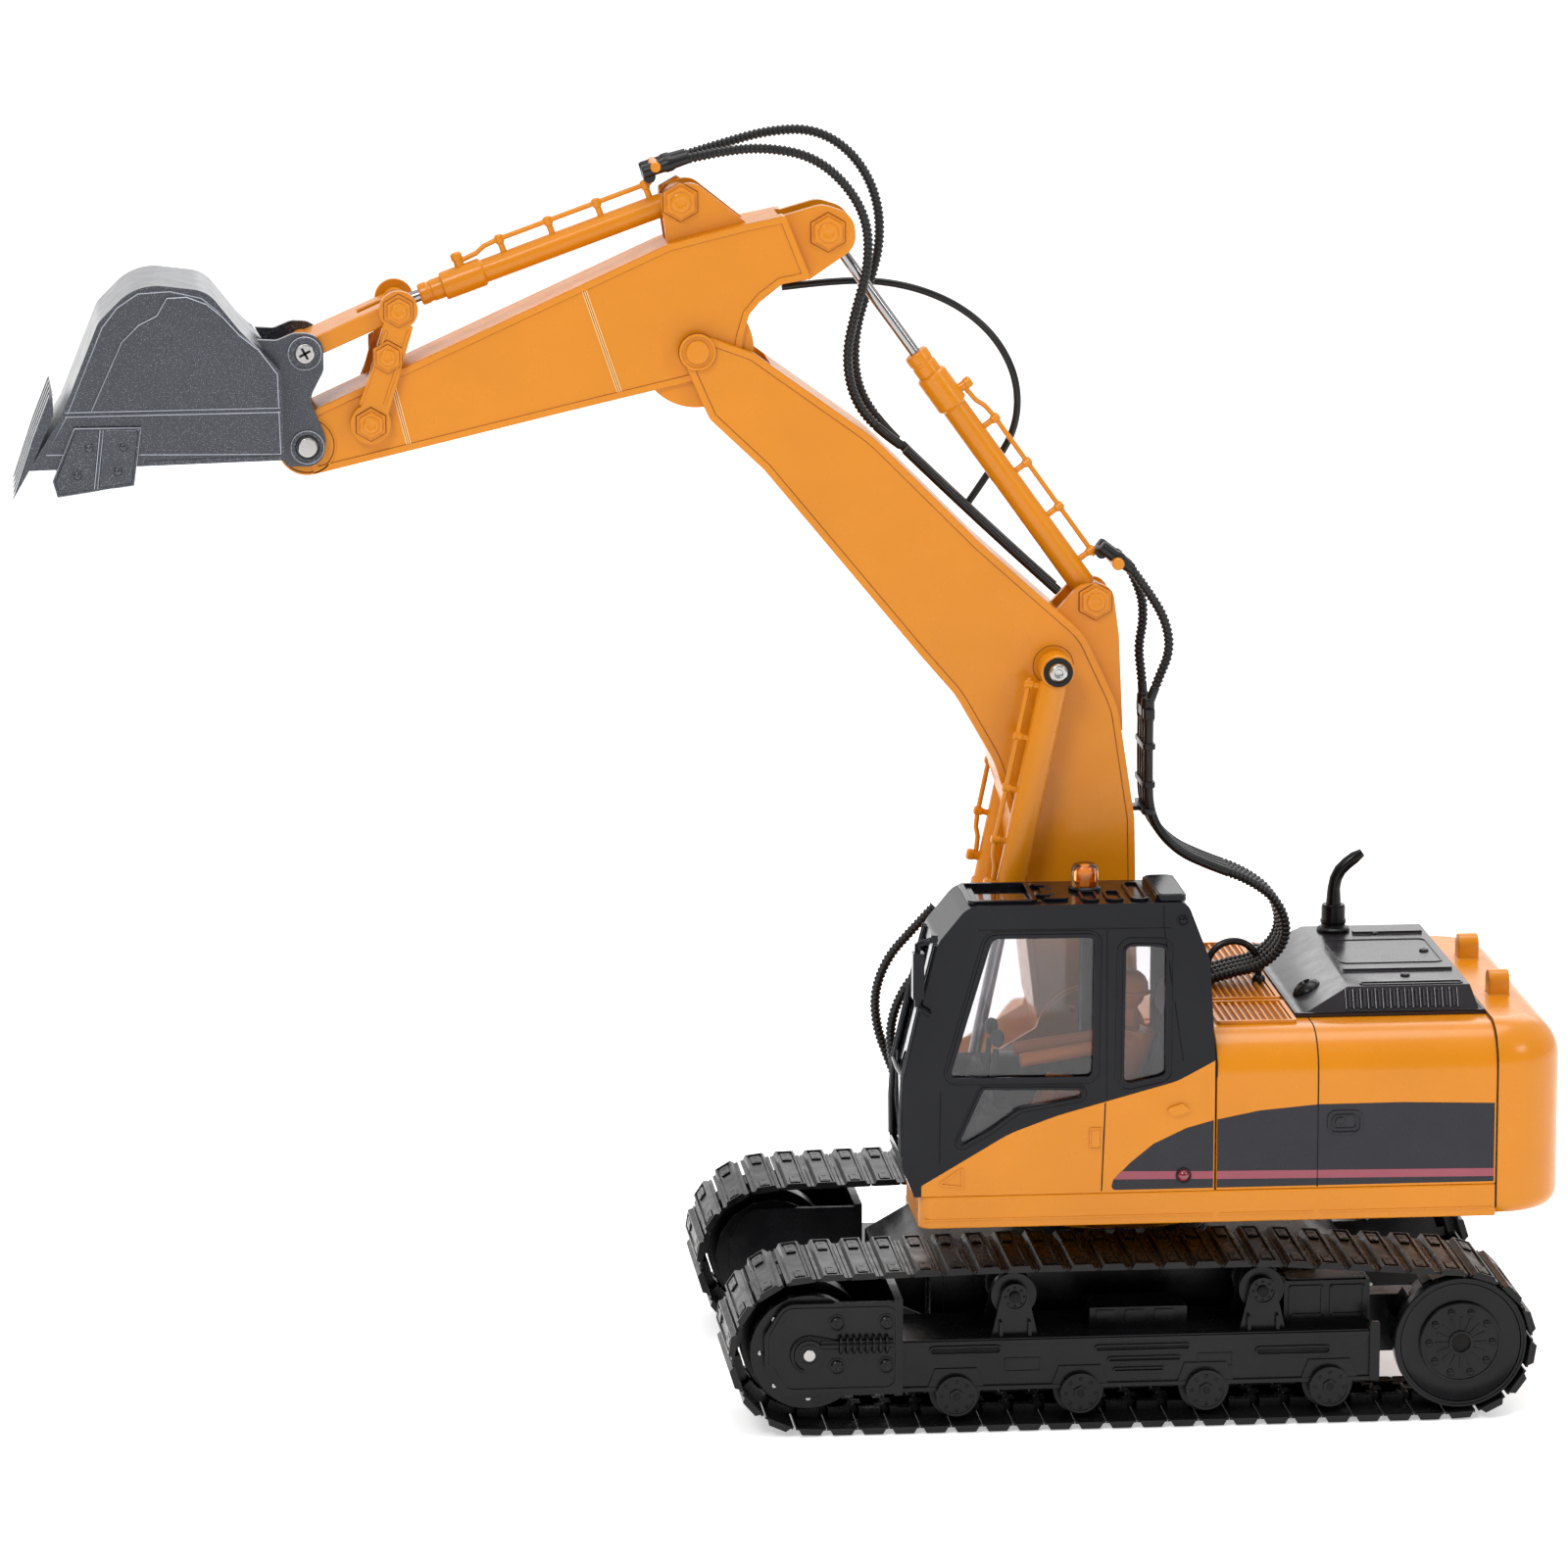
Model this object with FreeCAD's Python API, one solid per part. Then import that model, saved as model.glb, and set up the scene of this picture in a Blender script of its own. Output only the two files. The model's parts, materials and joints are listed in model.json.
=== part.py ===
import FreeCAD, Part
import math
import os

# Radio-controlled toy crawler excavator, all sizes in millimetres.
# +Z is up, the bucket points along -X, the cab is on the -Y side.
# The origin is on the slew axis, at the level the tracks stand on.

V = FreeCAD.Vector

# ---- driving dimensions -------------------------------------------------
TRACK_CENTRE_Y = 56.5          # slew axis to the middle of each track
SHOE_WIDTH = 43.0
LINKS_PER_TRACK = 56
IDLER_AXIS = (-101.5, 25.0)    # (x, z)
DRIVE_AXIS = (98.0, 23.4)
IDLER_OUTER_R = 25.0           # to the outside of the shoes
DRIVE_OUTER_R = 23.4
TRACK_TOP_Z = 51.4
TOP_ROLLER_X = (-38.0, 38.0)
TOP_ROLLER_R = 7.3
BOTTOM_ROLLER_X = (-56.4, -18.5, 20.0, 58.0)
BOTTOM_ROLLER_Z = 10.3
BOTTOM_ROLLER_R = 7.8
HINGE_DEPTH = 3.4              # outside of a shoe to the link hinge line
SHOE_THICK = 2.0
AXLE_R = 1.5
RUNNING_GAP = 0.05

DECK_BOTTOM = 61.5
DECK_TOP = 71.5
HOUSE_HALF_WIDTH = 70.0
HOUSE_FRONT = -67.5
DECK_STEP_FRONT = -58.0         # front of the deck beside the cab
CAB_REAR = 22.5
COUNTERWEIGHT_FRONT = 109.0
HOUSE_REAR = 131.0
HOUSE_TOP = 119.8
SHOULDER_R = 13.0
HOOD_TOP = 128.0
CAB_INNER_Y = -36.0
CAB_ROOF = 161.0
SKIN = 2.0

BOOM_HALF = 15.2
STICK_HALF = 12.5
BUCKET_HALF = 23.8
EAR_IN, EAR_OUT = 13.0, 15.3

# Pin centres of the digging arm, (x, z).
FOOT = (-8.5, 107.0)
BOOM_CYL_TOP = (-20.6, 224.0)
BOOM_CYL_LOW = (-48.3, 90.0)
BOOM_CYL_Y = 22.2
STICK_CYL_BASE = (-6.8, 242.5)
BOOM_TIP = (-129.5, 322.1)
STICK_REAR = (-89.2, 357.1)
BUCKET_CYL_BASE = (-134.0, 366.8)
ROCKER_LOW = (-228.2, 301.5)
ROCKER_MID = (-223.0, 321.9)
ROCKER_TOP = (-219.6, 335.8)
BUCKET_TOP_PIN = (-247.9, 323.3)
BUCKET_LOW_PIN = (-247.4, 294.8)
HUB_R = 17.5                   # round hub on the stick at the boom tip
STICK_TIP_R = 9.0

# Hose routes, (x, y, z); the tubes are straight runs joined by tangent arcs.
HOSE_R = 1.6
WIRE_R = 1.25
BUCKET_HOSE = [(-131, 5, 379.6), (-119, 5.3, 383.2), (-106, 5.6, 386.6), (-92, 6, 387.0),
               (-80.5, 6, 380.0), (-73.0, 6, 367.5), (-71.5, 6, 352.5), (-75.5, 6, 338.0),
               (-79.5, 6, 324.5), (-79.5, 6, 310.5), (-74.3, 5.8, 299.3), (-66.5, 5.6, 291.2)]
BUCKET_HOSE_2 = [(-131, -5, 379.6), (-119.5, -5.3, 382.0), (-107, -5.6, 382.6), (-94, -5.8, 380.0),
                 (-83.8, -6, 372.0), (-77.0, -6, 360.5), (-76.5, -6, 346.5), (-80.5, -6, 333.0),
                 (-83.5, -6, 319.5), (-81.5, -6, 306.5), (-74.5, -5.8, 296.8), (-66.5, -5.6, 291.2)]
MOTOR_WIRE = [(-101.6, 9.5, 338.2), (-88.5, 10, 339.6), (-73.5, 10.2, 340.0), (-58.5, 10.4, 337.0),
              (-45.0, 10.5, 330.5), (-34.5, 10.5, 320.5), (-28.6, 10.5, 307.5), (-29.2, 10.3, 293.5),
              (-36.5, 10, 281.5), (-44.6, 10, 269.9)]
BASE_HOSE = [(4.4, -3.0, 252.3), (10.9, -3.6, 243.6), (15.6, -4.6, 235.4), (17.0, -5.4, 226.2),
             (13.2, -5.4, 217.4), (10.2, -5.0, 208.6)]
BASE_HOSE_2 = [(4.4, 3.0, 252.3), (9.0, 3.6, 243.8), (10.0, 4.6, 234.6), (8.4, 5.2, 225.6),
               (9.6, 5.0, 216.8), (10.2, 5.0, 208.6)]
BUNDLE = [(10.2, 0, 206.0), (10.0, 0, 190.0), (10.6, 0, 174.5), (18.6, 0, 164.2), (30.0, 0, 158.8),
          (42.0, 0, 154.4), (51.5, 0, 147.2), (54.6, 0, 135.8), (47.0, 0, 126.8), (36.0, 0, 124.8),
          (26.5, 0, 121.8)]
BUNDLE_Y = (-7.5, -2.5, 2.5, 7.5)
FOOT_HOSE = [(-52.6, 22.2, 141.5), (-59.6, 22.2, 134.0), (-67.2, 22.2, 125.6), (-71.4, 22.2, 114.6),
             (-70.6, 22.2, 103.0), (-66.4, 22.2, 92.0), (-62.4, 22.2, 81.4)]


# ---- helpers ------------------------------------------------------------
def box(x0, x1, y0, y1, z0, z1):
    return Part.makeBox(x1 - x0, y1 - y0, z1 - z0, V(x0, y0, z0))


def cyl_y(centre, r, y0, y1):
    return Part.makeCylinder(r, y1 - y0, V(centre[0], y0, centre[1]), V(0, 1, 0))


def cyl_z(x, y, r, z0, z1):
    return Part.makeCylinder(r, z1 - z0, V(x, y, z0), V(0, 0, 1))


def rod_between(a, b, y, r, d0, d1):
    """Round bar on the line from pin a to pin b, from d0 to d1 along it."""
    length = math.hypot(b[0] - a[0], b[1] - a[1])
    u = V((b[0] - a[0]) / length, 0, (b[1] - a[1]) / length)
    start = V(a[0], y, a[1]) + u * d0
    return Part.makeCylinder(r, d1 - d0, start, u)


def rounded_wire(points, to_vector):
    """Closed outline; a point is (a, b) or (a, b, corner radius)."""
    edges = []
    count = len(points)
    joints = []
    for i, point in enumerate(points):
        here = to_vector(point[0], point[1])
        radius = point[2] if len(point) > 2 else 0.0
        if radius <= 0:
            joints.append((here, here, None))
            continue
        before = to_vector(*points[i - 1][:2])
        after = to_vector(*points[(i + 1) % count][:2])
        u = (before - here).normalize()
        w = (after - here).normalize()
        half = u.getAngle(w) / 2
        trim = radius / math.tan(half)
        bisector = (u + w).normalize()
        middle = here + bisector * (radius / math.sin(half) - radius)
        joints.append((here + u * trim, here + w * trim, middle))
    for i in range(count):
        entry, leave, middle = joints[i]
        if middle is not None:
            edges.append(Part.Arc(entry, middle, leave).toShape())
        following = joints[(i + 1) % count][0]
        if (following - leave).Length > 1e-6:
            edges.append(Part.LineSegment(leave, following).toShape())
    return Part.Wire(edges)


def side_plate(points, y0, y1):
    """Outline in the X-Z plane, thickened from y0 to y1."""
    wire = rounded_wire(points, lambda x, z: V(x, y0, z))
    return Part.Face(wire).extrude(V(0, y1 - y0, 0))


def plan_plate(points, z0, z1):
    """Outline in the X-Y plane, thickened from z0 to z1."""
    wire = rounded_wire(points, lambda x, y: V(x, y, z0))
    return Part.Face(wire).extrude(V(0, 0, z1 - z0))


def fuse(shapes):
    result = shapes[0]
    if len(shapes) > 1:
        result = result.fuse(shapes[1:])
    return result.removeSplitter()


def both_sides(shape):
    """The shape and its mirror image across the X-Z plane."""
    return [shape, shape.mirror(V(0, 0, 0), V(0, 1, 0))]


def mirrored(shape):
    return shape.mirror(V(0, 0, 0), V(0, 1, 0))


def inset(points, wall, y0, y1):
    """Inside of a hollow moulding with the given outline."""
    wire = rounded_wire(points, lambda x, z: V(x, y0, z))
    inner = Part.Face(wire).makeOffset2D(-wall)
    return inner.extrude(V(0, y1 - y0, 0))


def save(name, shapes):
    if not isinstance(shapes, list):
        shapes = [shapes]
    solids = []
    for shape in shapes:
        solids.extend(shape.Solids)
    for solid in solids:
        if not solid.isValid():
            print("invalid solid in", name)
    result = solids[0] if len(solids) == 1 else Part.makeCompound(solids)
    result.exportStep("parts/" + name + ".step")


def hose(points, radius, name):
    """Tube along straight runs joined by tangent arcs."""
    vectors = [V(*p) for p in points]
    edges = []
    start = vectors[0]
    radii = []
    for i in range(1, len(vectors) - 1):
        here = vectors[i]
        u = (vectors[i - 1] - here)
        w = (vectors[i + 1] - here)
        shorter = min(u.Length, w.Length)
        u.normalize()
        w.normalize()
        trim = 0.45 * shorter
        half = u.getAngle(w) / 2
        bend = trim * math.tan(half)
        radii.append(bend)
        entry = here + u * trim
        leave = here + w * trim
        middle = here + (u + w).normalize() * (bend / math.sin(half) - bend)
        edges.append(Part.LineSegment(start, entry).toShape())
        edges.append(Part.Arc(entry, middle, leave).toShape())
        start = leave
    edges.append(Part.LineSegment(start, vectors[-1]).toShape())
    path = Part.Wire(edges)
    direction = (vectors[1] - vectors[0]).normalize()
    section = Part.Wire([Part.makeCircle(radius, vectors[0], direction)])
    tube = path.makePipeShell([section], True, False)
    expected = math.pi * radius * radius * path.Length
    print(name, "length %.1f" % path.Length, "volume ratio %.3f" % (tube.Volume / expected),
          "least bend %.1f" % min(radii))
    return tube


# ---- tracks -------------------------------------------------------------
def tangent_run(c0, r0, c1, r1, above):
    """Tangent points of the belt line between two circles, on the upper side or the lower side."""
    dx, dz = c1[0] - c0[0], c1[1] - c0[1]
    distance = math.hypot(dx, dz)
    base = math.atan2(dz, dx)
    swing = math.acos((r0 - r1) / distance)
    angle = base + swing if above else base - swing
    unit = (math.cos(angle), math.sin(angle))
    first = (c0[0] + r0 * unit[0], c0[1] + r0 * unit[1])
    second = (c1[0] + r1 * unit[0], c1[1] + r1 * unit[1])
    return first, second, angle


def belt_line():
    """Pieces of the closed hinge line: straight runs and arcs, from the drive wheel's top forwards."""
    roller_r = TOP_ROLLER_R + 1.4
    roller_z = TRACK_TOP_Z - HINGE_DEPTH - roller_r
    wheels = [(DRIVE_AXIS, DRIVE_OUTER_R - HINGE_DEPTH),
              ((TOP_ROLLER_X[1], roller_z), roller_r),
              ((TOP_ROLLER_X[0], roller_z), roller_r),
              (IDLER_AXIS, IDLER_OUTER_R - HINGE_DEPTH)]
    tops = []
    for i in range(3):
        (c0, r0), (c1, r1) = wheels[i + 1], wheels[i]
        first, second, angle = tangent_run(c0, r0, c1, r1, True)
        tops.append((second, first, angle))
    low = tangent_run(wheels[3][0], wheels[3][1], wheels[0][0], wheels[0][1], False)
    pieces = []
    for i in range(3):
        pieces.append(("line", tops[i][0], tops[i][1]))
        centre, r = wheels[i + 1]
        turn_from = tops[i][2]
        turn_to = tops[i + 1][2] if i < 2 else low[2] + 2 * math.pi
        pieces.append(("arc", centre, r, turn_from, turn_to))
    pieces.append(("line", low[0], low[1]))
    pieces.append(("arc", wheels[0][0], wheels[0][1], low[2], tops[0][2]))
    return pieces


def belt_points(count):
    """Hinge points evenly spaced along the closed hinge line."""
    pieces = belt_line()
    lengths = []
    for piece in pieces:
        if piece[0] == "line":
            lengths.append(math.dist(piece[1], piece[2]))
        else:
            lengths.append(piece[2] * (piece[4] - piece[3]))
    pitch = sum(lengths) / count
    points = []
    for k in range(count):
        along = k * pitch
        i = 0
        while along > lengths[i]:
            along -= lengths[i]
            i += 1
        piece = pieces[i]
        t = along / lengths[i]
        if piece[0] == "line":
            a, b = piece[1], piece[2]
            points.append((a[0] + (b[0] - a[0]) * t, a[1] + (b[1] - a[1]) * t))
        else:
            angle = piece[3] + (piece[4] - piece[3]) * t
            points.append((piece[1][0] + piece[2] * math.cos(angle),
                           piece[1][1] + piece[2] * math.sin(angle)))
    return points


def track_link(pitch):
    """One shoe lying flat: hinge line along Y at the origin, the next hinge at +pitch, outside down."""
    half = SHOE_WIDTH / 2
    down = -HINGE_DEPTH
    top = down + SHOE_THICK
    shoe = side_plate([(1.9, down), (pitch - 1.9, down), (pitch - 0.7, top), (0.7, top)], -half, half)
    rails = []
    for y0, y1 in ((-9.0, -6.0), (6.0, 9.0)):
        rails.append(side_plate([(1.5, top), (pitch - 1.5, top), (pitch - 1.5, 1.3), (1.5, 1.3)], y0, y1))
    arms = [side_plate([(-0.4, -0.9), (0.9, top), (2.6, top), (2.6, 1.2), (-0.4, 1.2)], -2.6, 2.6)]
    barrel = [cyl_y((0, 0), 1.25, -2.6, 2.6)]
    claws = []
    for y0, y1 in ((-5.6, -2.8), (2.8, 5.6)):
        claws.append(cyl_y((pitch, 0), 1.25, y0, y1))
        claws.append(side_plate([(pitch - 2.6, top), (pitch - 0.9, top),
                                 (pitch + 0.4, -0.9), (pitch + 0.4, 1.2),
                                 (pitch - 2.6, 1.2)], y0, y1))
    return fuse([shoe] + rails + arms + barrel + claws)


def build_tracks():
    points = belt_points(LINKS_PER_TRACK)
    near = []
    for k in range(LINKS_PER_TRACK):
        a = points[k]
        b = points[(k + 1) % LINKS_PER_TRACK]
        chord = math.dist(a, b)
        link = track_link(chord)
        # The belt runs anticlockwise seen from -Y, so the outside is on the right of its direction.
        angle = math.degrees(math.atan2(b[1] - a[1], b[0] - a[0]))
        link.rotate(V(0, 0, 0), V(0, 1, 0), -angle)
        link.translate(V(a[0], -TRACK_CENTRE_Y, a[1]))
        near.append(link)
    save("left_track", near)
    save("right_track", [mirrored(link) for link in near])


# ---- undercarriage ------------------------------------------------------
FRAME_OUT, FRAME_IN = -72.0, -41.0
FRAME_TOP = 27.4
YOKE_OUT = -76.0


def top_hub(x):
    """Axis (x, z) of the top roller at x."""
    return (x, TRACK_TOP_Z - HINGE_DEPTH - TOP_ROLLER_R - 1.4)


def track_frame():
    rail = side_plate([(-76, 11.4), (72, 11.4), (72, FRAME_TOP), (-76, FRAME_TOP)], FRAME_OUT, FRAME_IN)
    hollow = box(-76, 70, FRAME_OUT + 2, FRAME_IN - 2, 0, FRAME_TOP - 2)
    frame = rail.cut(hollow)
    caps = []
    for x in BOTTOM_ROLLER_X:
        axis = (x, BOTTOM_ROLLER_Z)
        caps.append(cyl_y(axis, 6.2, FRAME_OUT - 2.5, FRAME_OUT + 2))
        caps.append(cyl_y(axis, 6.2, FRAME_IN - 2, FRAME_IN + 1))
    yoke_line = [(-73, 12.0), (-73, 40.6), (-109, 40.6, 6.0), (-115, 31, 3.0), (-115, 21, 3.0),
                 (-109, 12.0, 6.0)]
    yokes = [side_plate(yoke_line, YOKE_OUT, YOKE_OUT + 2.2), side_plate(yoke_line, -43.2, -41.0)]
    yokes.append(box(-75.5, -73, YOKE_OUT, FRAME_IN, 11.4, 41.5))
    yokes.append(cyl_y(IDLER_AXIS, 4.5, YOKE_OUT - 1.2, YOKE_OUT))
    brackets = []
    for x in TOP_ROLLER_X:
        hub = top_hub(x)
        tower = side_plate([(x - 7.2, FRAME_TOP - 1), (x + 7.2, FRAME_TOP - 1), (x + 4.2, hub[1]),
                            (x - 4.2, hub[1])], -68.5, -66.0)
        brackets += [tower, cyl_y(hub, 4.2, -68.5, -66.0)]
        inner = tower.copy()
        inner.translate(V(0, 19.5, 0))
        brackets += [inner, cyl_y(hub, 4.2, -49.0, -46.5)]
    steps = [box(-14, 16, -60, -44, FRAME_TOP - 1, 33.0)]
    cover = box(45.6, 72, -62, FRAME_IN, FRAME_TOP - 1, 40.4).cut(box(47.1, 70.5, -60.5, -42.5, 20, 38.9))
    arm_line = [(72, 14.4), (93, 14.4), (93, 32.4), (72, 32.4)]
    arm = fuse([side_plate(arm_line, -50.0, -40.0), cyl_y(DRIVE_AXIS, 13.0, -50.0, -40.0)])
    pocket = fuse([side_plate([(74, 16), (93, 16), (93, 31), (74, 31)], -48.5, -41.5),
                   cyl_y(DRIVE_AXIS, 11.5, -48.5, -41.5)])
    frame = fuse([frame] + caps + yokes + brackets + steps + [cover, arm.cut(pocket)])
    holes = []
    for x in BOTTOM_ROLLER_X:
        holes.append(cyl_y((x, BOTTOM_ROLLER_Z), AXLE_R, -73.5, -40.5))
    for x in TOP_ROLLER_X:
        hub = top_hub(x)
        holes.append(cyl_y(hub, AXLE_R, -80, -46.0))
    holes.append(cyl_y(IDLER_AXIS, 1.8, -80, -40))
    holes.append(cyl_y(DRIVE_AXIS, 2.5, -51, -47))
    frame = frame.cut(holes)
    coils = [Part.makeTorus(2.4, 0.55, V(-92 + 2 * i, YOKE_OUT - 0.6, 28.0), V(1, 0, 0)) for i in range(8)]
    rod = rod_between((-98, 28.0), (-76, 28.0), YOKE_OUT - 0.6, 1.4, 0, 22)
    return fuse([frame, rod] + coils)


def wheel_disc(axis, steps, bore):
    """Turned wheel from (radius, y0, y1) steps with a central bore."""
    body = fuse([cyl_y(axis, r, y0, y1) for r, y0, y1 in steps])
    return body.cut(cyl_y(axis, bore, -90, -30))


def drive_wheel():
    steps = [(20.4, -75.5, -71.0), (14.0, -71.0, -62.0), (15.6, -62.0, -51.0)]
    body = wheel_disc(DRIVE_AXIS, steps, 2.5 + RUNNING_GAP)
    recess = cyl_y(DRIVE_AXIS, 18.6, -76, -74.0).cut(cyl_y(DRIVE_AXIS, 12.6, -77, -73))
    body = body.cut(recess)
    teeth = []
    count = 13
    for i in range(count):
        tooth = box(-1.6, 1.6, -62.0, -51.0, 14.8, 18.0)
        tooth.rotate(V(0, 0, 0), V(0, 1, 0), 360.0 * i / count)
        tooth.translate(V(DRIVE_AXIS[0], 0, DRIVE_AXIS[1]))
        teeth.append(tooth)
    bolts = []
    for i in range(10):
        angle = math.radians(36 * i)
        spot = (DRIVE_AXIS[0] + 9.8 * math.cos(angle), DRIVE_AXIS[1] + 9.8 * math.sin(angle))
        bolts.append(cyl_y(spot, 1.0, -76.2, -75.0))
    return fuse([body] + teeth + bolts)


def build_wheels():
    idler = wheel_disc(IDLER_AXIS, [(17.7, -73.2, -69.0), (13.5, -69.0, -44.0), (19.4, -60.5, -52.5),
                                    (17.7, -44.6, -43.7)], 1.8 + RUNNING_GAP)
    drive = drive_wheel()
    wheels = {"idler_wheel": idler, "drive_wheel": drive}
    for i, x in enumerate(BOTTOM_ROLLER_X):
        axis = (x, BOTTOM_ROLLER_Z)
        steps = [(BOTTOM_ROLLER_R, -69.6, -66.4), (4.6, -66.4, -46.6), (BOTTOM_ROLLER_R, -46.6, -43.4)]
        wheels["bottom_roller_%d" % (i + 1)] = wheel_disc(axis, steps, AXLE_R + RUNNING_GAP)
    for name, wheel in wheels.items():
        save("left_" + name, wheel)
        save("right_" + name, mirrored(wheel))
    fixed = []
    for x in TOP_ROLLER_X:
        tread = TOP_ROLLER_R - 0.3
        steps = [(tread, -66.0, -62.4), (4.2, -62.4, -52.6), (tread, -52.6, -49.0)]
        fixed += both_sides(wheel_disc(top_hub(x), steps, AXLE_R))
    save("top_rollers", fixed)


def build_axles():
    pins = []
    for x in BOTTOM_ROLLER_X:
        pins.append(cyl_y((x, BOTTOM_ROLLER_Z), AXLE_R, -73.5, -40.5))
    for x in TOP_ROLLER_X:
        hub = top_hub(x)
        pins.append(cyl_y(hub, AXLE_R, -69.2, -46.5))
    pins.append(cyl_y(IDLER_AXIS, 1.8, -77.8, -41.0))
    pins.append(cyl_y(DRIVE_AXIS, 2.5, -74.5, -48.5))
    for x, z in ((-93, 34.5), (-78, 34.5), (-93, 21.0), (-78, 21.0)):
        pins.append(cyl_y((x, z), 1.5, YOKE_OUT - 0.7, YOKE_OUT))
    save("axles_and_screws", pins + [mirrored(pin) for pin in pins])


BODY_X, BODY_Y = 60.0, 34.0


def build_chassis():
    shell = box(-BODY_X, BODY_X, -BODY_Y, BODY_Y, 17.0, 46.0)
    noses = [side_plate([(-BODY_X, 22), (-BODY_X, 46), (-74, 38), (-74, 28)], -24, 24),
             side_plate([(BODY_X, 22), (BODY_X, 46), (74, 38), (74, 28)], -24, 24)]
    body = fuse([shell] + noses)
    body = body.cut(box(-BODY_X + SKIN, BODY_X - SKIN, -BODY_Y + SKIN, BODY_Y - SKIN, 19.0, 44.0))
    legs = []
    for x in (-40.0, 40.0):
        legs += both_sides(box(x - 9, x + 9, -41.0, -33.0, 16.0, 26.0))
    ring = cyl_z(0, 0, 30.0, 44.0, 50.0)
    body = fuse([body, ring] + legs)
    opening = box(-37, 37, -19, 19, 16.0, 20.0)
    bore = cyl_z(0, 0, 8.1, 40.0, 55.0)
    switch_slot = box(43.0, 53.0, -3.2, 3.2, 16.0, 20.0)
    body = body.cut([opening, bore, switch_slot])
    save("car_body", body)
    cover = box(-36.9, 36.9, -18.9, 18.9, 16.0, 18.6)
    save("battery_cover", fuse([cover, box(-39, -36.9, -5, 5, 15.4, 17.0), box(36.9, 39, -5, 5, 15.4, 17.0)]))
    cells = []
    for y in (-12.5, 0.0, 12.5):
        for x0 in (-35.5, 0.5):
            cells.append(Part.makeCylinder(6.0, 35.0, V(x0, y, 25.2), V(1, 0, 0)))
    save("battery_cells", cells)
    knob = fuse([box(45.2, 48.2, -1.6, 1.6, 14.6, 18.6), box(43.4, 50.0, -3.0, 3.0, 18.6, 19.8)])
    save("power_switch", knob)
    motors = [Part.makeCylinder(5.6, 23.0, V(47.4, -51.5, 33.2), V(1, 0, 0)),
              fuse([side_plate([(75, 17), (93, 17), (93, 30), (75, 30)], -48.0, -42.0),
                    cyl_y(DRIVE_AXIS, 11.0, -48.0, -42.0)]).cut(cyl_y(DRIVE_AXIS, 2.55, -49, -41))]
    save("drive_gearmotors", motors + [mirrored(m) for m in motors])


# ---- house --------------------------------------------------------------
def deck_outline(wall):
    """Plan of the deck, moved in by the wall: it reaches further forward under the cab than beside it."""
    front, rear, half = HOUSE_FRONT + wall, COUNTERWEIGHT_FRONT - wall, HOUSE_HALF_WIDTH - wall
    step_x, step_y = DECK_STEP_FRONT + wall, CAB_INNER_Y + 2.0 - wall
    return [(front, -half, 4.0), (rear, -half), (rear, half), (step_x + 6.0, half, 4.0), (step_x, 60.0, 4.0),
            (step_x, step_y, 1.5), (front, step_y, 1.5)]


def build_deck():
    tray = plan_plate(deck_outline(0.0), DECK_BOTTOM, DECK_TOP)
    tray = tray.cut(plan_plate(deck_outline(SKIN), DECK_BOTTOM + 3, DECK_TOP + 1))
    skirt = Part.makeCone(33.0, 42.0, 11.5, V(0, 0, 50.4), V(0, 0, 1))
    spigot = cyl_z(0, 0, 8.0, 40.5, 51.0)
    save("house_deck", fuse([tray, skirt, spigot]))


def shoulder_section(y_half, z0, z1, radius, x0, x1):
    """House body cross-section with rounded shoulders, from x0 to x1."""
    outline = [(-y_half, z0), (y_half, z0), (y_half, z1, radius), (-y_half, z1, radius)]
    wire = rounded_wire(outline, lambda y, z: V(x0, y, z))
    return Part.Face(wire).extrude(V(x1 - x0, 0, 0))


def build_shell():
    rear_part = shoulder_section(HOUSE_HALF_WIDTH, DECK_TOP, HOUSE_TOP, SHOULDER_R, CAB_REAR + 0.5,
                                 COUNTERWEIGHT_FRONT)
    inner = shoulder_section(HOUSE_HALF_WIDTH - SKIN, DECK_TOP - 1, HOUSE_TOP - SKIN, SHOULDER_R - SKIN,
                             CAB_REAR + 0.5 + SKIN, COUNTERWEIGHT_FRONT + 1)
    shell = rear_part.cut(inner)
    side = [(CAB_REAR + 0.3, DECK_TOP), (CAB_REAR + 0.3, 101.0), (-22, 101.0, 5.0), (-33, 86.5, 4.0),
            (-46, 84.5, 4.0), (-50.0, DECK_TOP)]
    locker = side_plate(side, 30.0, HOUSE_HALF_WIDTH)
    locker = locker.cut(inset(side, SKIN, 30.0 + SKIN, HOUSE_HALF_WIDTH - SKIN))
    save("house_shell", [shell, locker])


def counterweight_outline(grow):
    half, rear = HOUSE_HALF_WIDTH - grow, HOUSE_REAR - grow
    corner = 20.0 - grow
    return [(COUNTERWEIGHT_FRONT + grow, -half), (rear, -half, corner), (rear, half, corner),
            (COUNTERWEIGHT_FRONT + grow, half)]


def rim_edges(block, z):
    """Edges of the block's face at height z, without the straight one at its front."""
    chosen = []
    for edge in block.Edges:
        bounds = edge.BoundBox
        if abs(bounds.ZMin - z) > 1e-4 or abs(bounds.ZMax - z) > 1e-4:
            continue
        if abs(bounds.XMax - COUNTERWEIGHT_FRONT) > 1e-4:
            chosen.append(edge)
    return chosen


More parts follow.
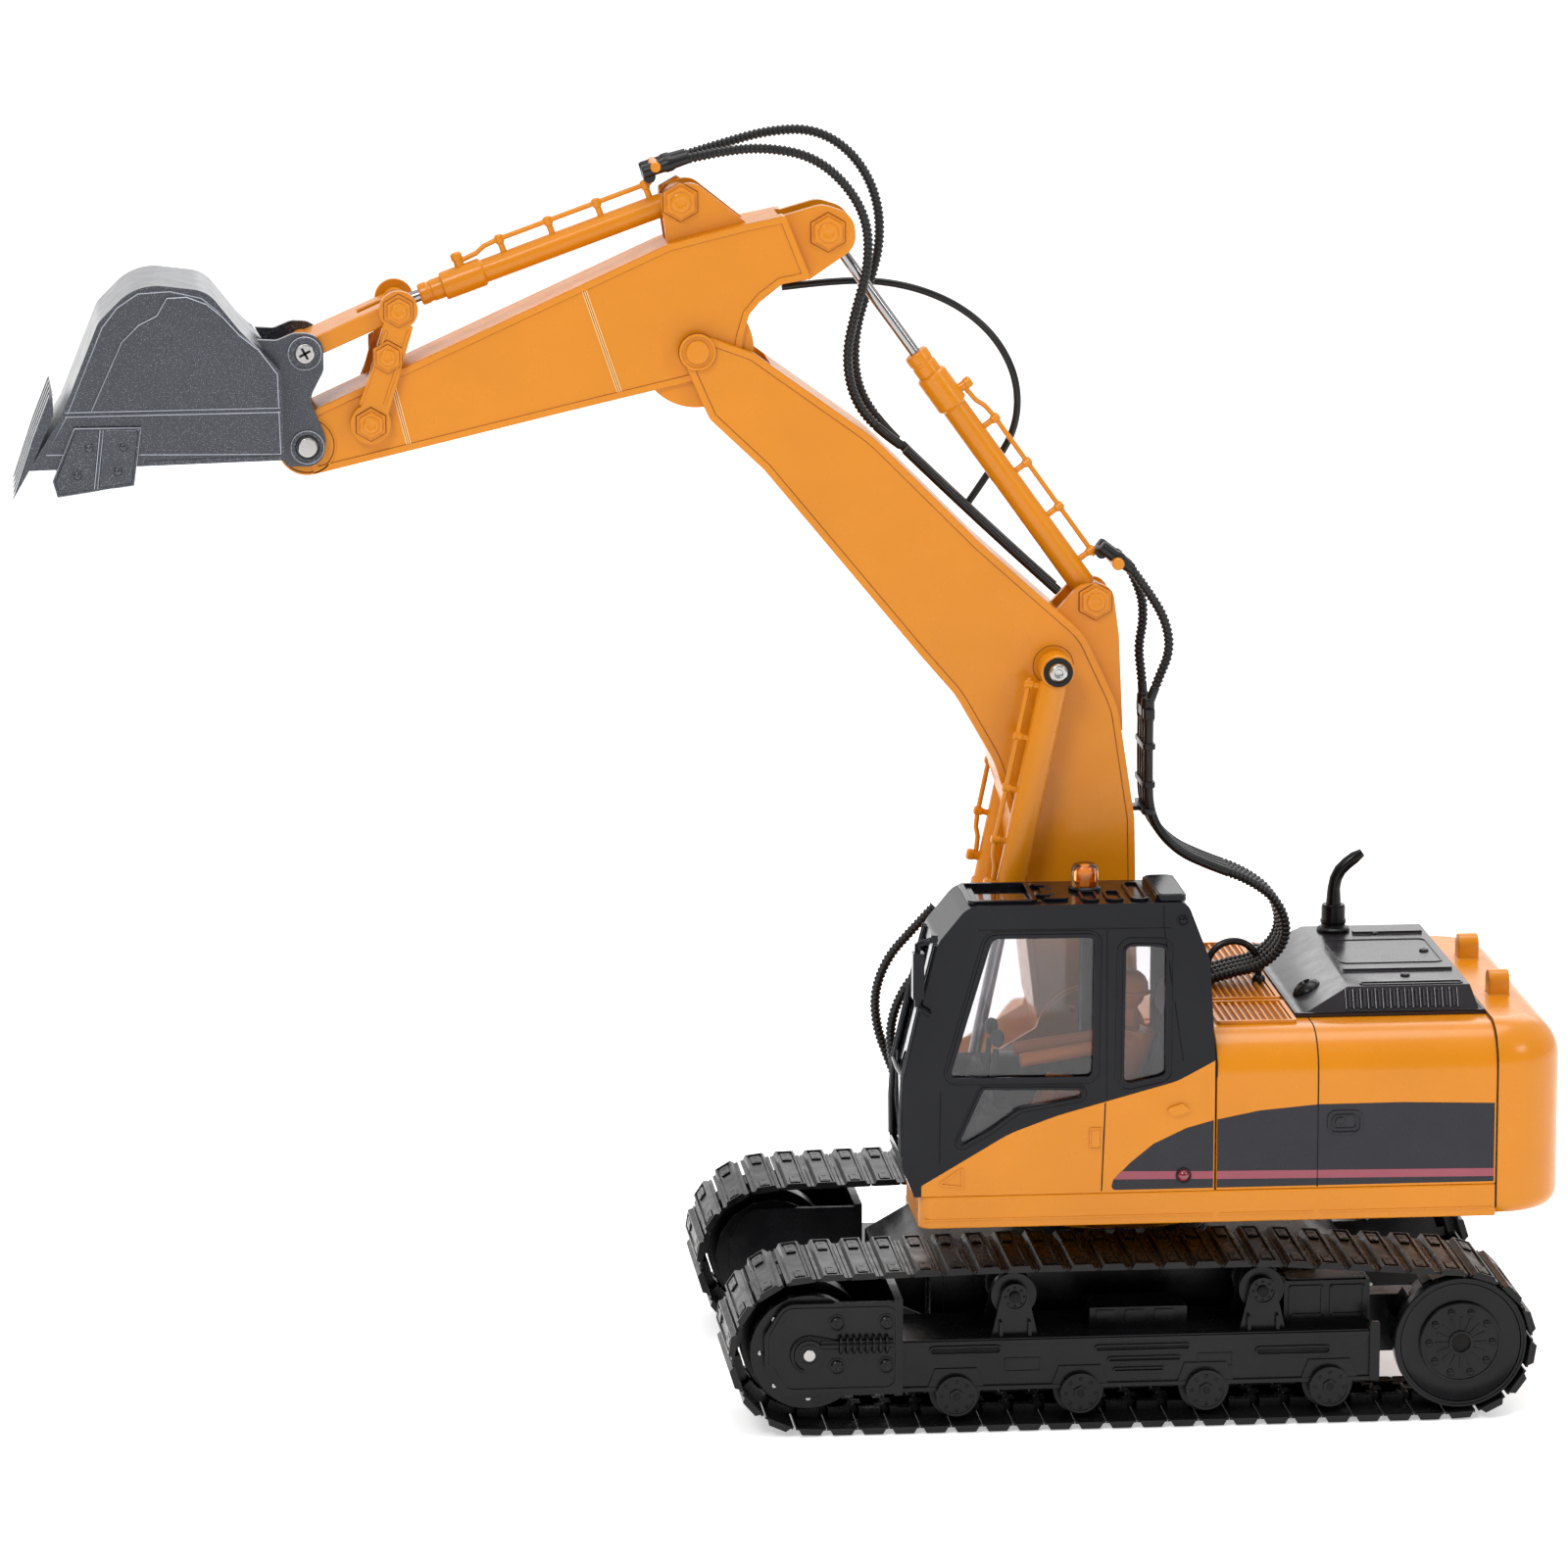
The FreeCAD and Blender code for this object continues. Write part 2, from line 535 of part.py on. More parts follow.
def build_counterweight():
    block = plan_plate(counterweight_outline(0.0), DECK_BOTTOM, HOUSE_TOP + 1.0)
    block = block.makeFillet(SHOULDER_R, rim_edges(block, HOUSE_TOP + 1.0))
    block = block.makeFillet(5.0, rim_edges(block, DECK_BOTTOM))
    block = block.cut(box(COUNTERWEIGHT_FRONT - 1, HOUSE_REAR - 14, -60, 60, DECK_BOTTOM + 4, HOUSE_TOP - 9))
    lugs = []
    for y in (-26.0, 26.0):
        lug = fuse([box(113.5, 120.0, y - 3.5, y + 3.5, HOUSE_TOP - 6, 125.0),
                    Part.makeCylinder(3.5, 6.5, V(113.5, y, 125.0), V(1, 0, 0))])
        lugs.append(lug)
    save("counterweight", fuse([block] + lugs))


def rectangle_wire(x0, x1, y0, y1, z):
    corners = [V(x0, y0, z), V(x1, y0, z), V(x1, y1, z), V(x0, y1, z)]
    return Part.makePolygon(corners + [corners[0]])


def build_hood():
    outer = Part.makeLoft([rectangle_wire(51.5, 107.5, -48.0, 48.0, HOUSE_TOP),
                           rectangle_wire(67.0, 104.8, -43.6, 43.6, HOOD_TOP)], True, True)
    inner = Part.makeLoft([rectangle_wire(54.5, 106.0, -46.4, 46.4, HOUSE_TOP - 0.01),
                           rectangle_wire(68.0, 103.4, -42.4, 42.4, HOOD_TOP - 1.4)], True, True)
    flange = box(50.0, 108.6, -49.5, 49.5, HOUSE_TOP, HOUSE_TOP + 1.2)
    flange = flange.cut(box(54.5, 106.0, -46.4, 46.4, HOUSE_TOP - 1, HOUSE_TOP + 2))
    ribs = [box(x0, 103, y - 1.2, y + 1.2, HOOD_TOP - 0.6, HOOD_TOP + 0.9)
            for x0, y in ((69, -22.0), (81, 31.0))]
    save("engine_hood", fuse([outer.cut(inner), flange] + ribs))


EXHAUST_X, EXHAUST_Y = 75.6, 35.5
EXHAUST_R = 2.1


def build_exhaust():
    base = cyl_z(EXHAUST_X, EXHAUST_Y, 5.2, HOOD_TOP, HOOD_TOP + 1.6)
    collar = cyl_z(EXHAUST_X, EXHAUST_Y, 3.8, HOOD_TOP + 1.6, HOOD_TOP + 8.8)
    bottom = V(EXHAUST_X, EXHAUST_Y, HOOD_TOP + 8.8)
    bend = V(EXHAUST_X + 0.4, EXHAUST_Y, HOOD_TOP + 18.0)
    tip = V(EXHAUST_X + 8.6, EXHAUST_Y, HOOD_TOP + 25.4)
    pipe = fuse([Part.makeCylinder(EXHAUST_R, (bend - bottom).Length, bottom, bend - bottom),
                 Part.makeSphere(EXHAUST_R, bend),
                 Part.makeCylinder(EXHAUST_R, (tip - bend).Length, bend, tip - bend)])
    save("exhaust_stack", fuse([base, collar, pipe]))


CAB_SIDE = [(-67.0, 66.5), (-72.8, 81.0), (-72.5, 107.0), (-62.0, 150.0, 6.0), (-53.0, CAB_ROOF, 7.0),
            (13.5, CAB_ROOF, 4.0), (20.5, 143.0), (CAB_REAR, 112.0), (CAB_REAR, 66.5)]
PANEL_CURVE = [(CAB_REAR, 112.0), (11.0, 105.9, 20.0), (-25.6, 96.0, 60.0), (-40.0, 90.8, 40.0),
               (-66.9, 75.0)]


def lower_panel_line(grow):
    line = [(x, z + grow, *rest) for x, z, *rest in PANEL_CURVE]
    return line + [(-66.9, DECK_TOP - grow), (CAB_REAR, DECK_TOP - grow)]


def cab_windows(y0, y1):
    """Cutters for the side windows, through the given range of Y."""
    door = [(-45.5, 151.0, 3.0), (-14.2, 151.0, 2.0), (-14.6, 107.5, 2.0), (-58.5, 107.5, 2.0)]
    quarter = [(-5.0, 148.0, 2.0), (7.4, 147.2, 2.0), (7.4, 107.5, 2.0), (-5.4, 105.4, 2.0)]
    return [side_plate(door, y0, y1), side_plate(quarter, y0, y1)]


def low_window(y0, y1):
    line = [(-48.0, 104.4, 1.5), (-18.4, 103.6, 1.0), (-18.6, 101.6, 1.0), (-37.4, 98.4, 4.0),
            (-46.2, 92.0, 3.0), (-56.0, 86.4, 1.0)]
    return side_plate(line, y0, y1)


def build_cab():
    outer_y = -HOUSE_HALF_WIDTH
    body = side_plate(CAB_SIDE, outer_y, CAB_INNER_Y)
    body = body.cut(inset(CAB_SIDE, 2.2, outer_y + 2.2, CAB_INNER_Y - 2.2))
    body = body.cut(box(-66.0, CAB_REAR - 2.2, outer_y + 2.2, CAB_INNER_Y - 2.2, 60, 72))
    floor = box(-66.0, CAB_REAR - 1.0, outer_y + 1.5, CAB_INNER_Y - 1.5, DECK_TOP, DECK_TOP + 1.6)
    cutters = cab_windows(outer_y - 5, CAB_INNER_Y + 5) + [low_window(outer_y - 5, outer_y + 5)]
    windshield = side_plate([(-80, 84), (-80, 146.5), (-60, 146.5), (-69, 110), (-69, 84)], outer_y + 4.5,
                            CAB_INNER_Y - 4.5)
    skylight = box(-49, -27, outer_y + 5, CAB_INNER_Y - 5, CAB_ROOF - 5, CAB_ROOF + 5)
    rear = box(15, 30, outer_y + 5, CAB_INNER_Y - 5, 114, 146)
    body = fuse([body, floor]).cut(cutters + [windshield, skylight, rear])
    panel = side_plate(lower_panel_line(0.0), outer_y, outer_y + 1.4)
    body = body.cut(panel)
    visor = box(4.0, 13.0, outer_y + 3, CAB_INNER_Y - 3, CAB_ROOF, CAB_ROOF + 1.6)
    trim = box(-80.0, CAB_REAR, outer_y, CAB_INNER_Y, 60.0, DECK_TOP)
    body = body.cut(trim)
    save("cab_frame", [fuse([body, visor]), build_cab_extras()])
    save("cab_lower_panel", panel)
    panes = []
    for cutter in cab_windows(outer_y + 1.2, outer_y + 2.0) + [low_window(outer_y + 1.4, outer_y + 2.0)]:
        panes.append(cutter)
    panes += cab_windows(CAB_INNER_Y - 2.0, CAB_INNER_Y - 1.2)
    panes.append(side_plate([(-71.9, 84), (-71.6, 107.2), (-62.1, 146.5), (-61.3, 146.5), (-70.8, 107.2),
                             (-71.1, 84)], outer_y + 4.5, CAB_INNER_Y - 4.5))
    panes.append(box(-49, -27, outer_y + 5, CAB_INNER_Y - 5, CAB_ROOF - 1.6, CAB_ROOF - 0.8))
    rear_glass = side_plate([(18.3, 146), (19.1, 146), (21.3, 114), (20.5, 114)], outer_y + 5,
                            CAB_INNER_Y - 5)
    panes.append(rear_glass)
    save("cab_glass", panes)


def build_cab_inside():
    y = (CAB_INNER_Y - HOUSE_HALF_WIDTH) / 2
    floor = DECK_TOP + 1.6
    seat = fuse([box(-22, 8, y - 10, y + 10, floor, floor + 14),
                 box(-20, 5, y - 9, y + 9, floor + 14, floor + 19),
                 side_plate([(0, floor + 18), (6, floor + 18), (14, floor + 58, 2.0), (9, floor + 60, 2.0)],
                            y - 9, y + 9)])
    console = fuse([box(-50, -38, y - 11, y + 11, floor, floor + 22),
                    rod_between((-46, floor + 20), (-43, floor + 44), y - 8, 0.9, 0, 22),
                    rod_between((-46, floor + 20), (-43, floor + 44), y + 8, 0.9, 0, 22)])
    save("driver_seat", [seat, console])
    hip = V(-6, y, floor + 25)
    shoulder = V(-1, y, floor + 46)
    torso = Part.makeCone(6.2, 7.4, (shoulder - hip).Length, hip, shoulder - hip)
    head = Part.makeSphere(5.6, V(-2.5, y, floor + 57))
    neck = Part.makeCylinder(2.6, 8, shoulder - V(0, 0, 1), V(-0.1, 0, 1))
    limbs = []
    for side in (-1, 1):
        knee = V(-26, y + side * 5, floor + 27)
        thigh = Part.makeCylinder(3.2, (knee - hip).Length - 2, hip + V(-2, side * 4, 0),
                                  knee - hip - V(-2, 0, 0))
        shin = Part.makeCylinder(2.6, 20, knee, V(-0.35, 0, -1))
        hand = V(-36, y + side * 8, floor + 38)
        top = shoulder + V(-1, side * 6.5, -3)
        arm = Part.makeCylinder(2.1, (hand - top).Length, top, hand - top)
        limbs += [thigh, shin, arm, Part.makeSphere(2.6, knee), Part.makeSphere(2.4, top)]
    figure = fuse([torso, head, neck, Part.makeSphere(6.6, hip)] + limbs)
    save("driver_figure", figure.cut([seat, console]))


def build_cab_extras():
    arm = fuse([rod_between((-62.5, 152.0), (-68.5, 150.0), -72.0, 0.9, 0, 6.3),
                rod_between((-68.5, 150.5), (-68.5, 131.0), -72.0, 0.9, 0, 19.5),
                rod_between((-68.5, 131.0), (-64.5, 128.5), -72.0, 0.9, 0, 4.7),
                box(-64.5, -62.5, -72.9, -70.0, 150.6, 153.0)])
    glass_back = box(-70.2, -66.8, -75.6, -71.0, 134.0, 148.0)
    mirror = fuse([arm, glass_back])
    y = -49.0
    dome = fuse([cyl_z(-15.0, y, 4.1, CAB_ROOF, CAB_ROOF + 5.6),
                 Part.makeSphere(4.1, V(-15.0, y, CAB_ROOF + 5.6))])
    save("roof_beacon", dome.common(box(-30, 0, -60, -30, CAB_ROOF, CAB_ROOF + 8.2)))
    return mirror


def bracket_plate():
    disc = cyl_y(FOOT, HUB_R, 15.6, 17.3)
    foot = side_plate([(-56, DECK_BOTTOM + 3), (16, DECK_BOTTOM + 3), (7.5, 110.0), (-24, 112.0),
                       (-53.5, 95.0, 4.0), (-55.0, 84.0)], 15.6, 17.3)
    outer = side_plate([(-56, DECK_BOTTOM + 3), (-38, DECK_BOTTOM + 3), (-42, 93.0, 4.0),
                        (-53.5, 95.5, 4.0)], 27.4, 29.2)
    base = box(-56, -36, 15.6, 29.2, DECK_BOTTOM + 3, DECK_BOTTOM + 6)
    cap = Part.Face(hexagon(BOOM_CYL_LOW, 4.6, 29.2)).extrude(V(0, 1.8, 0))
    bush = cyl_y(FOOT, 5.0, 15.3, 15.7)
    return fuse([disc, foot, outer, base, cap, bush])


def hexagon(centre, across, y):
    corners = []
    for i in range(6):
        angle = math.radians(60 * i + 30)
        corners.append(V(centre[0] + across * math.cos(angle), y, centre[1] + across * math.sin(angle)))
    return Part.makePolygon(corners + [corners[0]])


def build_bracket():
    plate = bracket_plate()
    bore = cyl_y(FOOT, 3.0 + RUNNING_GAP, -40, 40)
    save("boom_bracket", [p.cut(bore) for p in both_sides(plate)])


def build_house_inside():
    save("control_board", [box(40, 100, -32, 32, 84, 85.6), box(50, 62, -10, 10, 85.6, 88.0),
                           box(80, 96, -28, -12, 85.6, 94.0), box(80, 92, 8, 22, 85.6, 92.0)])
    slew = [cyl_z(30, 0, 13.0, DECK_BOTTOM + 3, DECK_BOTTOM + 9.5),
            cyl_z(36, 0, 6.0, DECK_BOTTOM + 9.5, DECK_BOTTOM + 22)]
    lift = [box(30, 56, 24, 44, 90, 112), Part.makeCylinder(6.0, 24.0, V(56.0, 34.0, 101.0), V(1, 0, 0))]
    save("house_gearmotors", slew + lift)


# ---- boom ---------------------------------------------------------------
BOOM_SIDE = [(-132.8, 317.2), (-134.6, 322.1), (-132.6, 326.4), (-129.5, 327.6), (-125.0, 326.2),
             (-112.4, 321.5, 3.0), (-75.8, 295.1, 60.0), (-43.3, 262.4), (-11.0, 233.4, 20.0),
             (-0.5, 211.0, 30.0), (4.9, 176.0), (6.3, 112.0), (4.0, 96.5, 10.0), (-20.0, 94.5, 12.0),
             (-26.0, 118.0), (-33.0, 176.0), (-38.6, 194.5, 30.0), (-50.3, 214.9, 30.0),
             (-61.2, 227.5), (-109.2, 285.7), (-125.8, 301.5, 4.0)]


def fork_gap():
    """Space between the fork plates at the boom tip, where the stick turns."""
    line = [(-150, 340), (-112.5, 336), (-107.0, 318.0), (-94.0, 266.0), (-150, 266)]
    gap = side_plate(line, -STICK_HALF - 0.4, STICK_HALF + 0.4)
    return gap.fuse(cyl_y(BOOM_TIP, HUB_R + 0.7, -STICK_HALF - 0.4, STICK_HALF + 0.4))


def cylinder_lug(outline, y0, y1):
    return both_sides(side_plate(outline, -y1, -y0))


def build_boom():
    outer = side_plate(BOOM_SIDE, -BOOM_HALF, BOOM_HALF)
    inner = inset(BOOM_SIDE, SKIN, -BOOM_HALF + SKIN, BOOM_HALF - SKIN)
    hollow_limit = box(-96, 10, -40, 40, 90, 310)
    body = outer.cut(inner.common(hollow_limit))
    front_wall = side_plate([(-107.0, 318.0), (-105.0, 319.0), (-92.0, 266.0), (-94.0, 266.0)],
                            -BOOM_HALF, BOOM_HALF).common(outer)
    rear_lug = cylinder_lug([(-19.5, 239.0), (-11.8, 247.5, 5.0), (-1.6, 248.0, 5.0), (0.6, 232.0),
                             (2.0, 202.0), (-3.0, 205.0), (-12.0, 226.0)], 5.9, 8.3)
    rim_boss = both_sides(cyl_y(BOOM_TIP, 5.4, BOOM_HALF, BOOM_HALF + 0.9))
    foot_boss = cyl_y(FOOT, 9.0, -BOOM_HALF + 0.6, BOOM_HALF - 0.6)
    body = fuse([body, front_wall, foot_boss] + rear_lug + rim_boss)
    caps = both_sides(Part.Face(hexagon(STICK_CYL_BASE, 4.6, -10.2)).extrude(V(0, 1.9, 0)))
    body = fuse([body] + caps)
    body = body.cut([fork_gap(), cyl_y(FOOT, 3.0, -40, 40), cyl_y(BOOM_TIP, 2.5, -40, 40),
                     cyl_y(BOOM_CYL_TOP, 1.6, -40, 40), cyl_y(STICK_CYL_BASE, 2.0, -8.3, 8.3)])
    left = body.common(box(-200, 60, -30, 0, 60, 420))
    right = body.common(box(-200, 60, 0, 30, 60, 420))
    save("boom_left_shell", left)
    save("boom_right_shell", right)
    tip_pin = [cyl_y(BOOM_TIP, 2.5, -BOOM_HALF - 0.9, BOOM_HALF + 0.9)]
    tip_pin += both_sides(cyl_y(BOOM_TIP, 3.6, -BOOM_HALF - 2.0, -BOOM_HALF - 0.9))
    pivot = [cyl_y(BOOM_CYL_TOP, 1.6, -27.0, 27.0)]
    pivot += both_sides(cyl_y(BOOM_CYL_TOP, 2.8, -28.2, -27.0))
    save("boom_pins", [fuse(tip_pin), fuse(pivot), cyl_y(STICK_CYL_BASE, 2.0, -8.3, 8.3),
                       cyl_y(FOOT, 3.0, -17.3, 17.3)])


def boom_pipes():
    """Two smooth pipes lying on top of the boom."""
    pipes = []
    for y in (-5.6, 5.6):
        route = [(-65.2, y, 289.9), (-42.0, y, 267.2), (-18.0, y, 245.4)]
        pipes.append(hose(route, 1.5, "boom pipe"))
    return pipes


def build_boom_inside():
    case = box(-15, 15, -12, 12, -7, 7)
    motor = Part.makeCylinder(5.4, 20, V(15, 0, 0), V(1, 0, 0))
    placed = []
    for piece in (case, motor):
        piece.rotate(V(0, 0, 0), V(0, 1, 0), 50)
        piece.translate(V(-76, 0, 269))
        placed.append(piece)
    save("stick_gearmotor", placed)


# ---- cylinders ----------------------------------------------------------
def pipe_rail(a, b, y, reach, first, last, side):
    """Pipe beside a barrel on posts; side is +1 or -1 for the side of the a-b line it stands on."""
    length = math.hypot(b[0] - a[0], b[1] - a[1])
    u = V((b[0] - a[0]) / length, 0, (b[1] - a[1]) / length)
    n = V(-u.z, 0, u.x) * side
    start = V(a[0], y, a[1]) + u * first + n * reach
    pieces = [Part.makeCylinder(0.8, last - first, start, u)]
    posts = 5
    for i in range(posts):
        at = V(a[0], y, a[1]) + u * (first + (last - first) * i / (posts - 1))
        if i == posts - 1:
            at = at - u * 0.9
        if i == 0:
            at = at + u * 0.9
        post = Part.makeCylinder(0.9, reach + 0.9, at, n)
        pieces.append(post)
    return pieces


def build_cylinders():
    # Boom cylinders: one each side of the boom.
    a, b = BOOM_CYL_TOP, BOOM_CYL_LOW
    parts = [rod_between(a, b, -BOOM_CYL_Y, 4.4, 4.0, 84.0), cyl_y(a, 5.2, -26.8, -17.0),
             rod_between(a, b, -BOOM_CYL_Y, 5.0, 76.0, 84.0)]
    parts += pipe_rail(a, b, -BOOM_CYL_Y, 8.0, 4.0, 70.0, -1)
    barrel = fuse(parts).cut([rod_between(a, b, -BOOM_CYL_Y, 2.05, 6.0, 90.0),
                              cyl_y(a, 1.6 + RUNNING_GAP, -40, 0)])
    save("boom_cylinder_barrels", both_sides(barrel))
    rod = fuse([rod_between(a, b, -BOOM_CYL_Y, 1.95, 46.0, 134.0), cyl_y(b, 4.2, -25.0, -19.4)])
    save("boom_cylinder_rods", both_sides(rod.cut(cyl_y(b, 1.8, -40, 0))))
    # Stick cylinder on top of the boom.
    a, b = STICK_CYL_BASE, STICK_REAR
    parts = [rod_between(a, b, 0, 4.0, 3.0, 94.0), rod_between(a, b, 0, 4.9, 74.0, 86.0),
             cyl_y(a, 4.8, -5.4, 5.4)]
    parts += pipe_rail(a, b, 0, 8.2, 10.0, 76.0, -1)
    barrel = fuse(parts).cut([rod_between(a, b, 0, 1.85, 6.0, 96.0), cyl_y(a, 2.0 + RUNNING_GAP, -10, 10)])
    save("stick_cylinder_barrel", barrel)
    length = math.dist(a, b)
    rod = fuse([rod_between(a, b, 0, 1.75, 12.0, length - 2), cyl_y(b, 4.2, -5.4, 5.4)])
    save("stick_cylinder_rod", rod.cut(cyl_y(b, 1.8, -10, 10)))
    # Bucket cylinder on top of the stick.
    a, b = BUCKET_CYL_BASE, ROCKER_TOP
    parts = [rod_between(a, b, 0, 3.65, 3.0, 83.4), rod_between(a, b, 0, 4.4, 63.0, 76.0),
             cyl_y(a, 4.6, -5.4, 5.4)]
    parts += pipe_rail(a, b, 0, 7.6, 6.0, 68.0, -1)
    barrel = fuse(parts).cut([rod_between(a, b, 0, 2.0, 6.0, 90.0), cyl_y(a, 2.0 + RUNNING_GAP, -10, 10)])
    save("bucket_cylinder_barrel", barrel)
    length = math.dist(a, b)
    rod = fuse([rod_between(a, b, 0, 1.9, 18.0, length - 2), cyl_y(b, 4.0, -3.2, 3.2)])
    save("bucket_cylinder_rod", rod.cut(cyl_y(b, 1.8, -10, 10)))


# ---- stick --------------------------------------------------------------
STICK_SIDE = [(-138.0, 354.6, 30.0), (-114.8, 360.3, 20.0), (-102.4, 362.8, 1.5), (-94.6, 343.4, 1.5),
              (-103.5, 342.0, 4.0), (-113.6, 334.0, 6.0), (-116.5, 318.0), (-131.8, 312.6), (-168.7, 304.1),
              (-245.4, 286.0), (-251.1, 303.0)]


def build_stick():
    outer = side_plate(STICK_SIDE, -STICK_HALF, STICK_HALF)
    inner = inset(STICK_SIDE, SKIN, -STICK_HALF + SKIN, STICK_HALF - SKIN)
    hub = cyl_y(BOOM_TIP, HUB_R, -STICK_HALF + 1.0, STICK_HALF - 1.0)
    hub_ring = cyl_y(BOOM_TIP, 4.6, -STICK_HALF, STICK_HALF)
    tip = cyl_y(BUCKET_LOW_PIN, STICK_TIP_R, -STICK_HALF, STICK_HALF)
    rocker_boss = cyl_y(ROCKER_LOW, 4.4, -STICK_HALF, STICK_HALF)
    inner = inner.common(box(-234, -90, -20, 20, 290, 370))
    body = fuse([outer.cut(inner), hub.cut(inner), hub_ring, tip, rocker_boss])
    bracket = cylinder_lug([(-138.0, 354.0), (-140.4, 370.0, 5.6), (-130.0, 373.0, 5.6), (-113.6, 360.0),
                            (-116.0, 358.5)], 5.9, 8.4)
    ear = cylinder_lug([(-103.0, 362.2), (-91.0, 365.6, 7.0), (-81.2, 362.4, 7.0), (-80.6, 352.4, 6.5),
                        (-95.0, 342.6), (-98.0, 345.0)], 5.9, 8.4)
    caps = []
    for centre in (BUCKET_CYL_BASE, STICK_REAR):
        caps += both_sides(Part.Face(hexagon(centre, 4.8, -10.4)).extrude(V(0, 2.0, 0)))
    rod_slot = cyl_y(STICK_REAR, 16.0, -5.9, 5.9)
    body = fuse([body.cut(rod_slot)] + bracket + ear + caps)
    body = body.cut([cyl_y(BOOM_TIP, 2.5 + RUNNING_GAP, -20, 20),
                     cyl_y(BUCKET_LOW_PIN, 2.0 + RUNNING_GAP, -20, 20),
                     cyl_y(ROCKER_LOW, 2.0, -20, 20), cyl_y(BUCKET_CYL_BASE, 2.0, -8.4, 8.4)])
    save("stick_left_shell", body.common(box(-300, 0, -30, 0, 200, 420)))
    save("stick_right_shell", body.common(box(-300, 0, 0, 30, 200, 420)))
    rocker_pin = fuse([cyl_y(ROCKER_LOW, 2.0, -15.6, 15.6)] + hex_caps(ROCKER_LOW, 3.9, 15.6))
    save("stick_pins", [rocker_pin, cyl_y(BUCKET_CYL_BASE, 2.0, -8.4, 8.4)])
    case = box(-14, 14, -10, 10, -9, 9)
    motor = Part.makeCylinder(5.4, 22, V(-36, 0, 0), V(1, 0, 0))
    placed = []
    for piece in (case, motor):
        piece.rotate(V(0, 0, 0), V(0, 1, 0), -18)
        piece.translate(V(-170, 0, 324))
        placed.append(piece)
    save("bucket_gearmotor", placed)


def hex_caps(centre, across, y):
    return both_sides(Part.Face(hexagon(centre, across, -y - 1.8)).extrude(V(0, 1.8, 0)))


def build_linkage():
    outline = [(ROCKER_LOW[0] - 3.4, ROCKER_LOW[1] + 4), (ROCKER_TOP[0] - 4.6, ROCKER_TOP[1] - 4),
               (ROCKER_TOP[0] + 4.4, ROCKER_TOP[1] - 5), (ROCKER_LOW[0] + 5.0, ROCKER_LOW[1] + 2)]
    plate = fuse([side_plate(outline, -15.5, -13.1), cyl_y(ROCKER_LOW, 6.1, -15.5, -13.1),
                  cyl_y(ROCKER_TOP, 5.9, -15.5, -13.1)])
    plates = both_sides(plate)
    tie = cyl_y(ROCKER_MID, 2.2, -15.5, 15.5)
    rocker = fuse(plates + [tie] + hex_caps(ROCKER_TOP, 3.9, 15.5) + hex_caps(ROCKER_MID, 3.9, 15.5))
    bore = cyl_y(ROCKER_LOW, 2.0 + RUNNING_GAP, -15.6, 15.6)
    rocker = rocker.cut(bore)
    save("rocker_link", rocker)
    a, b = ROCKER_TOP, BUCKET_TOP_PIN
    length = math.dist(a, b)
    bar = box(0, length, -12.4, 12.4, -2.9, 2.9)
    bar.rotate(V(0, 0, 0), V(0, 1, 0), math.degrees(math.atan2(a[1] - b[1], a[0] - b[0])) * -1 + 180)
    bar.translate(V(a[0], 0, a[1]))
    link = fuse([bar, cyl_y(a, 3.6, -12.4, 12.4), cyl_y(b, 3.6, -12.4, 12.4)])
    link = link.cut(cyl_y(a, 12.0, -3.9, 3.9))
    save("bucket_link", link)


# ---- bucket -------------------------------------------------------------
BUCKET_SIDE = [(-254.1, 292.2), (-255.2, 319.0, 4.0), (-267.5, 331.5, 12.0), (-277.0, 343.6, 10.0),
               (-298.0, 346.2, 16.0), (-309.6, 334.6, 8.0), (-321.0, 306.4), (-329.3, 293.0)]
LIP_Z = 291.0


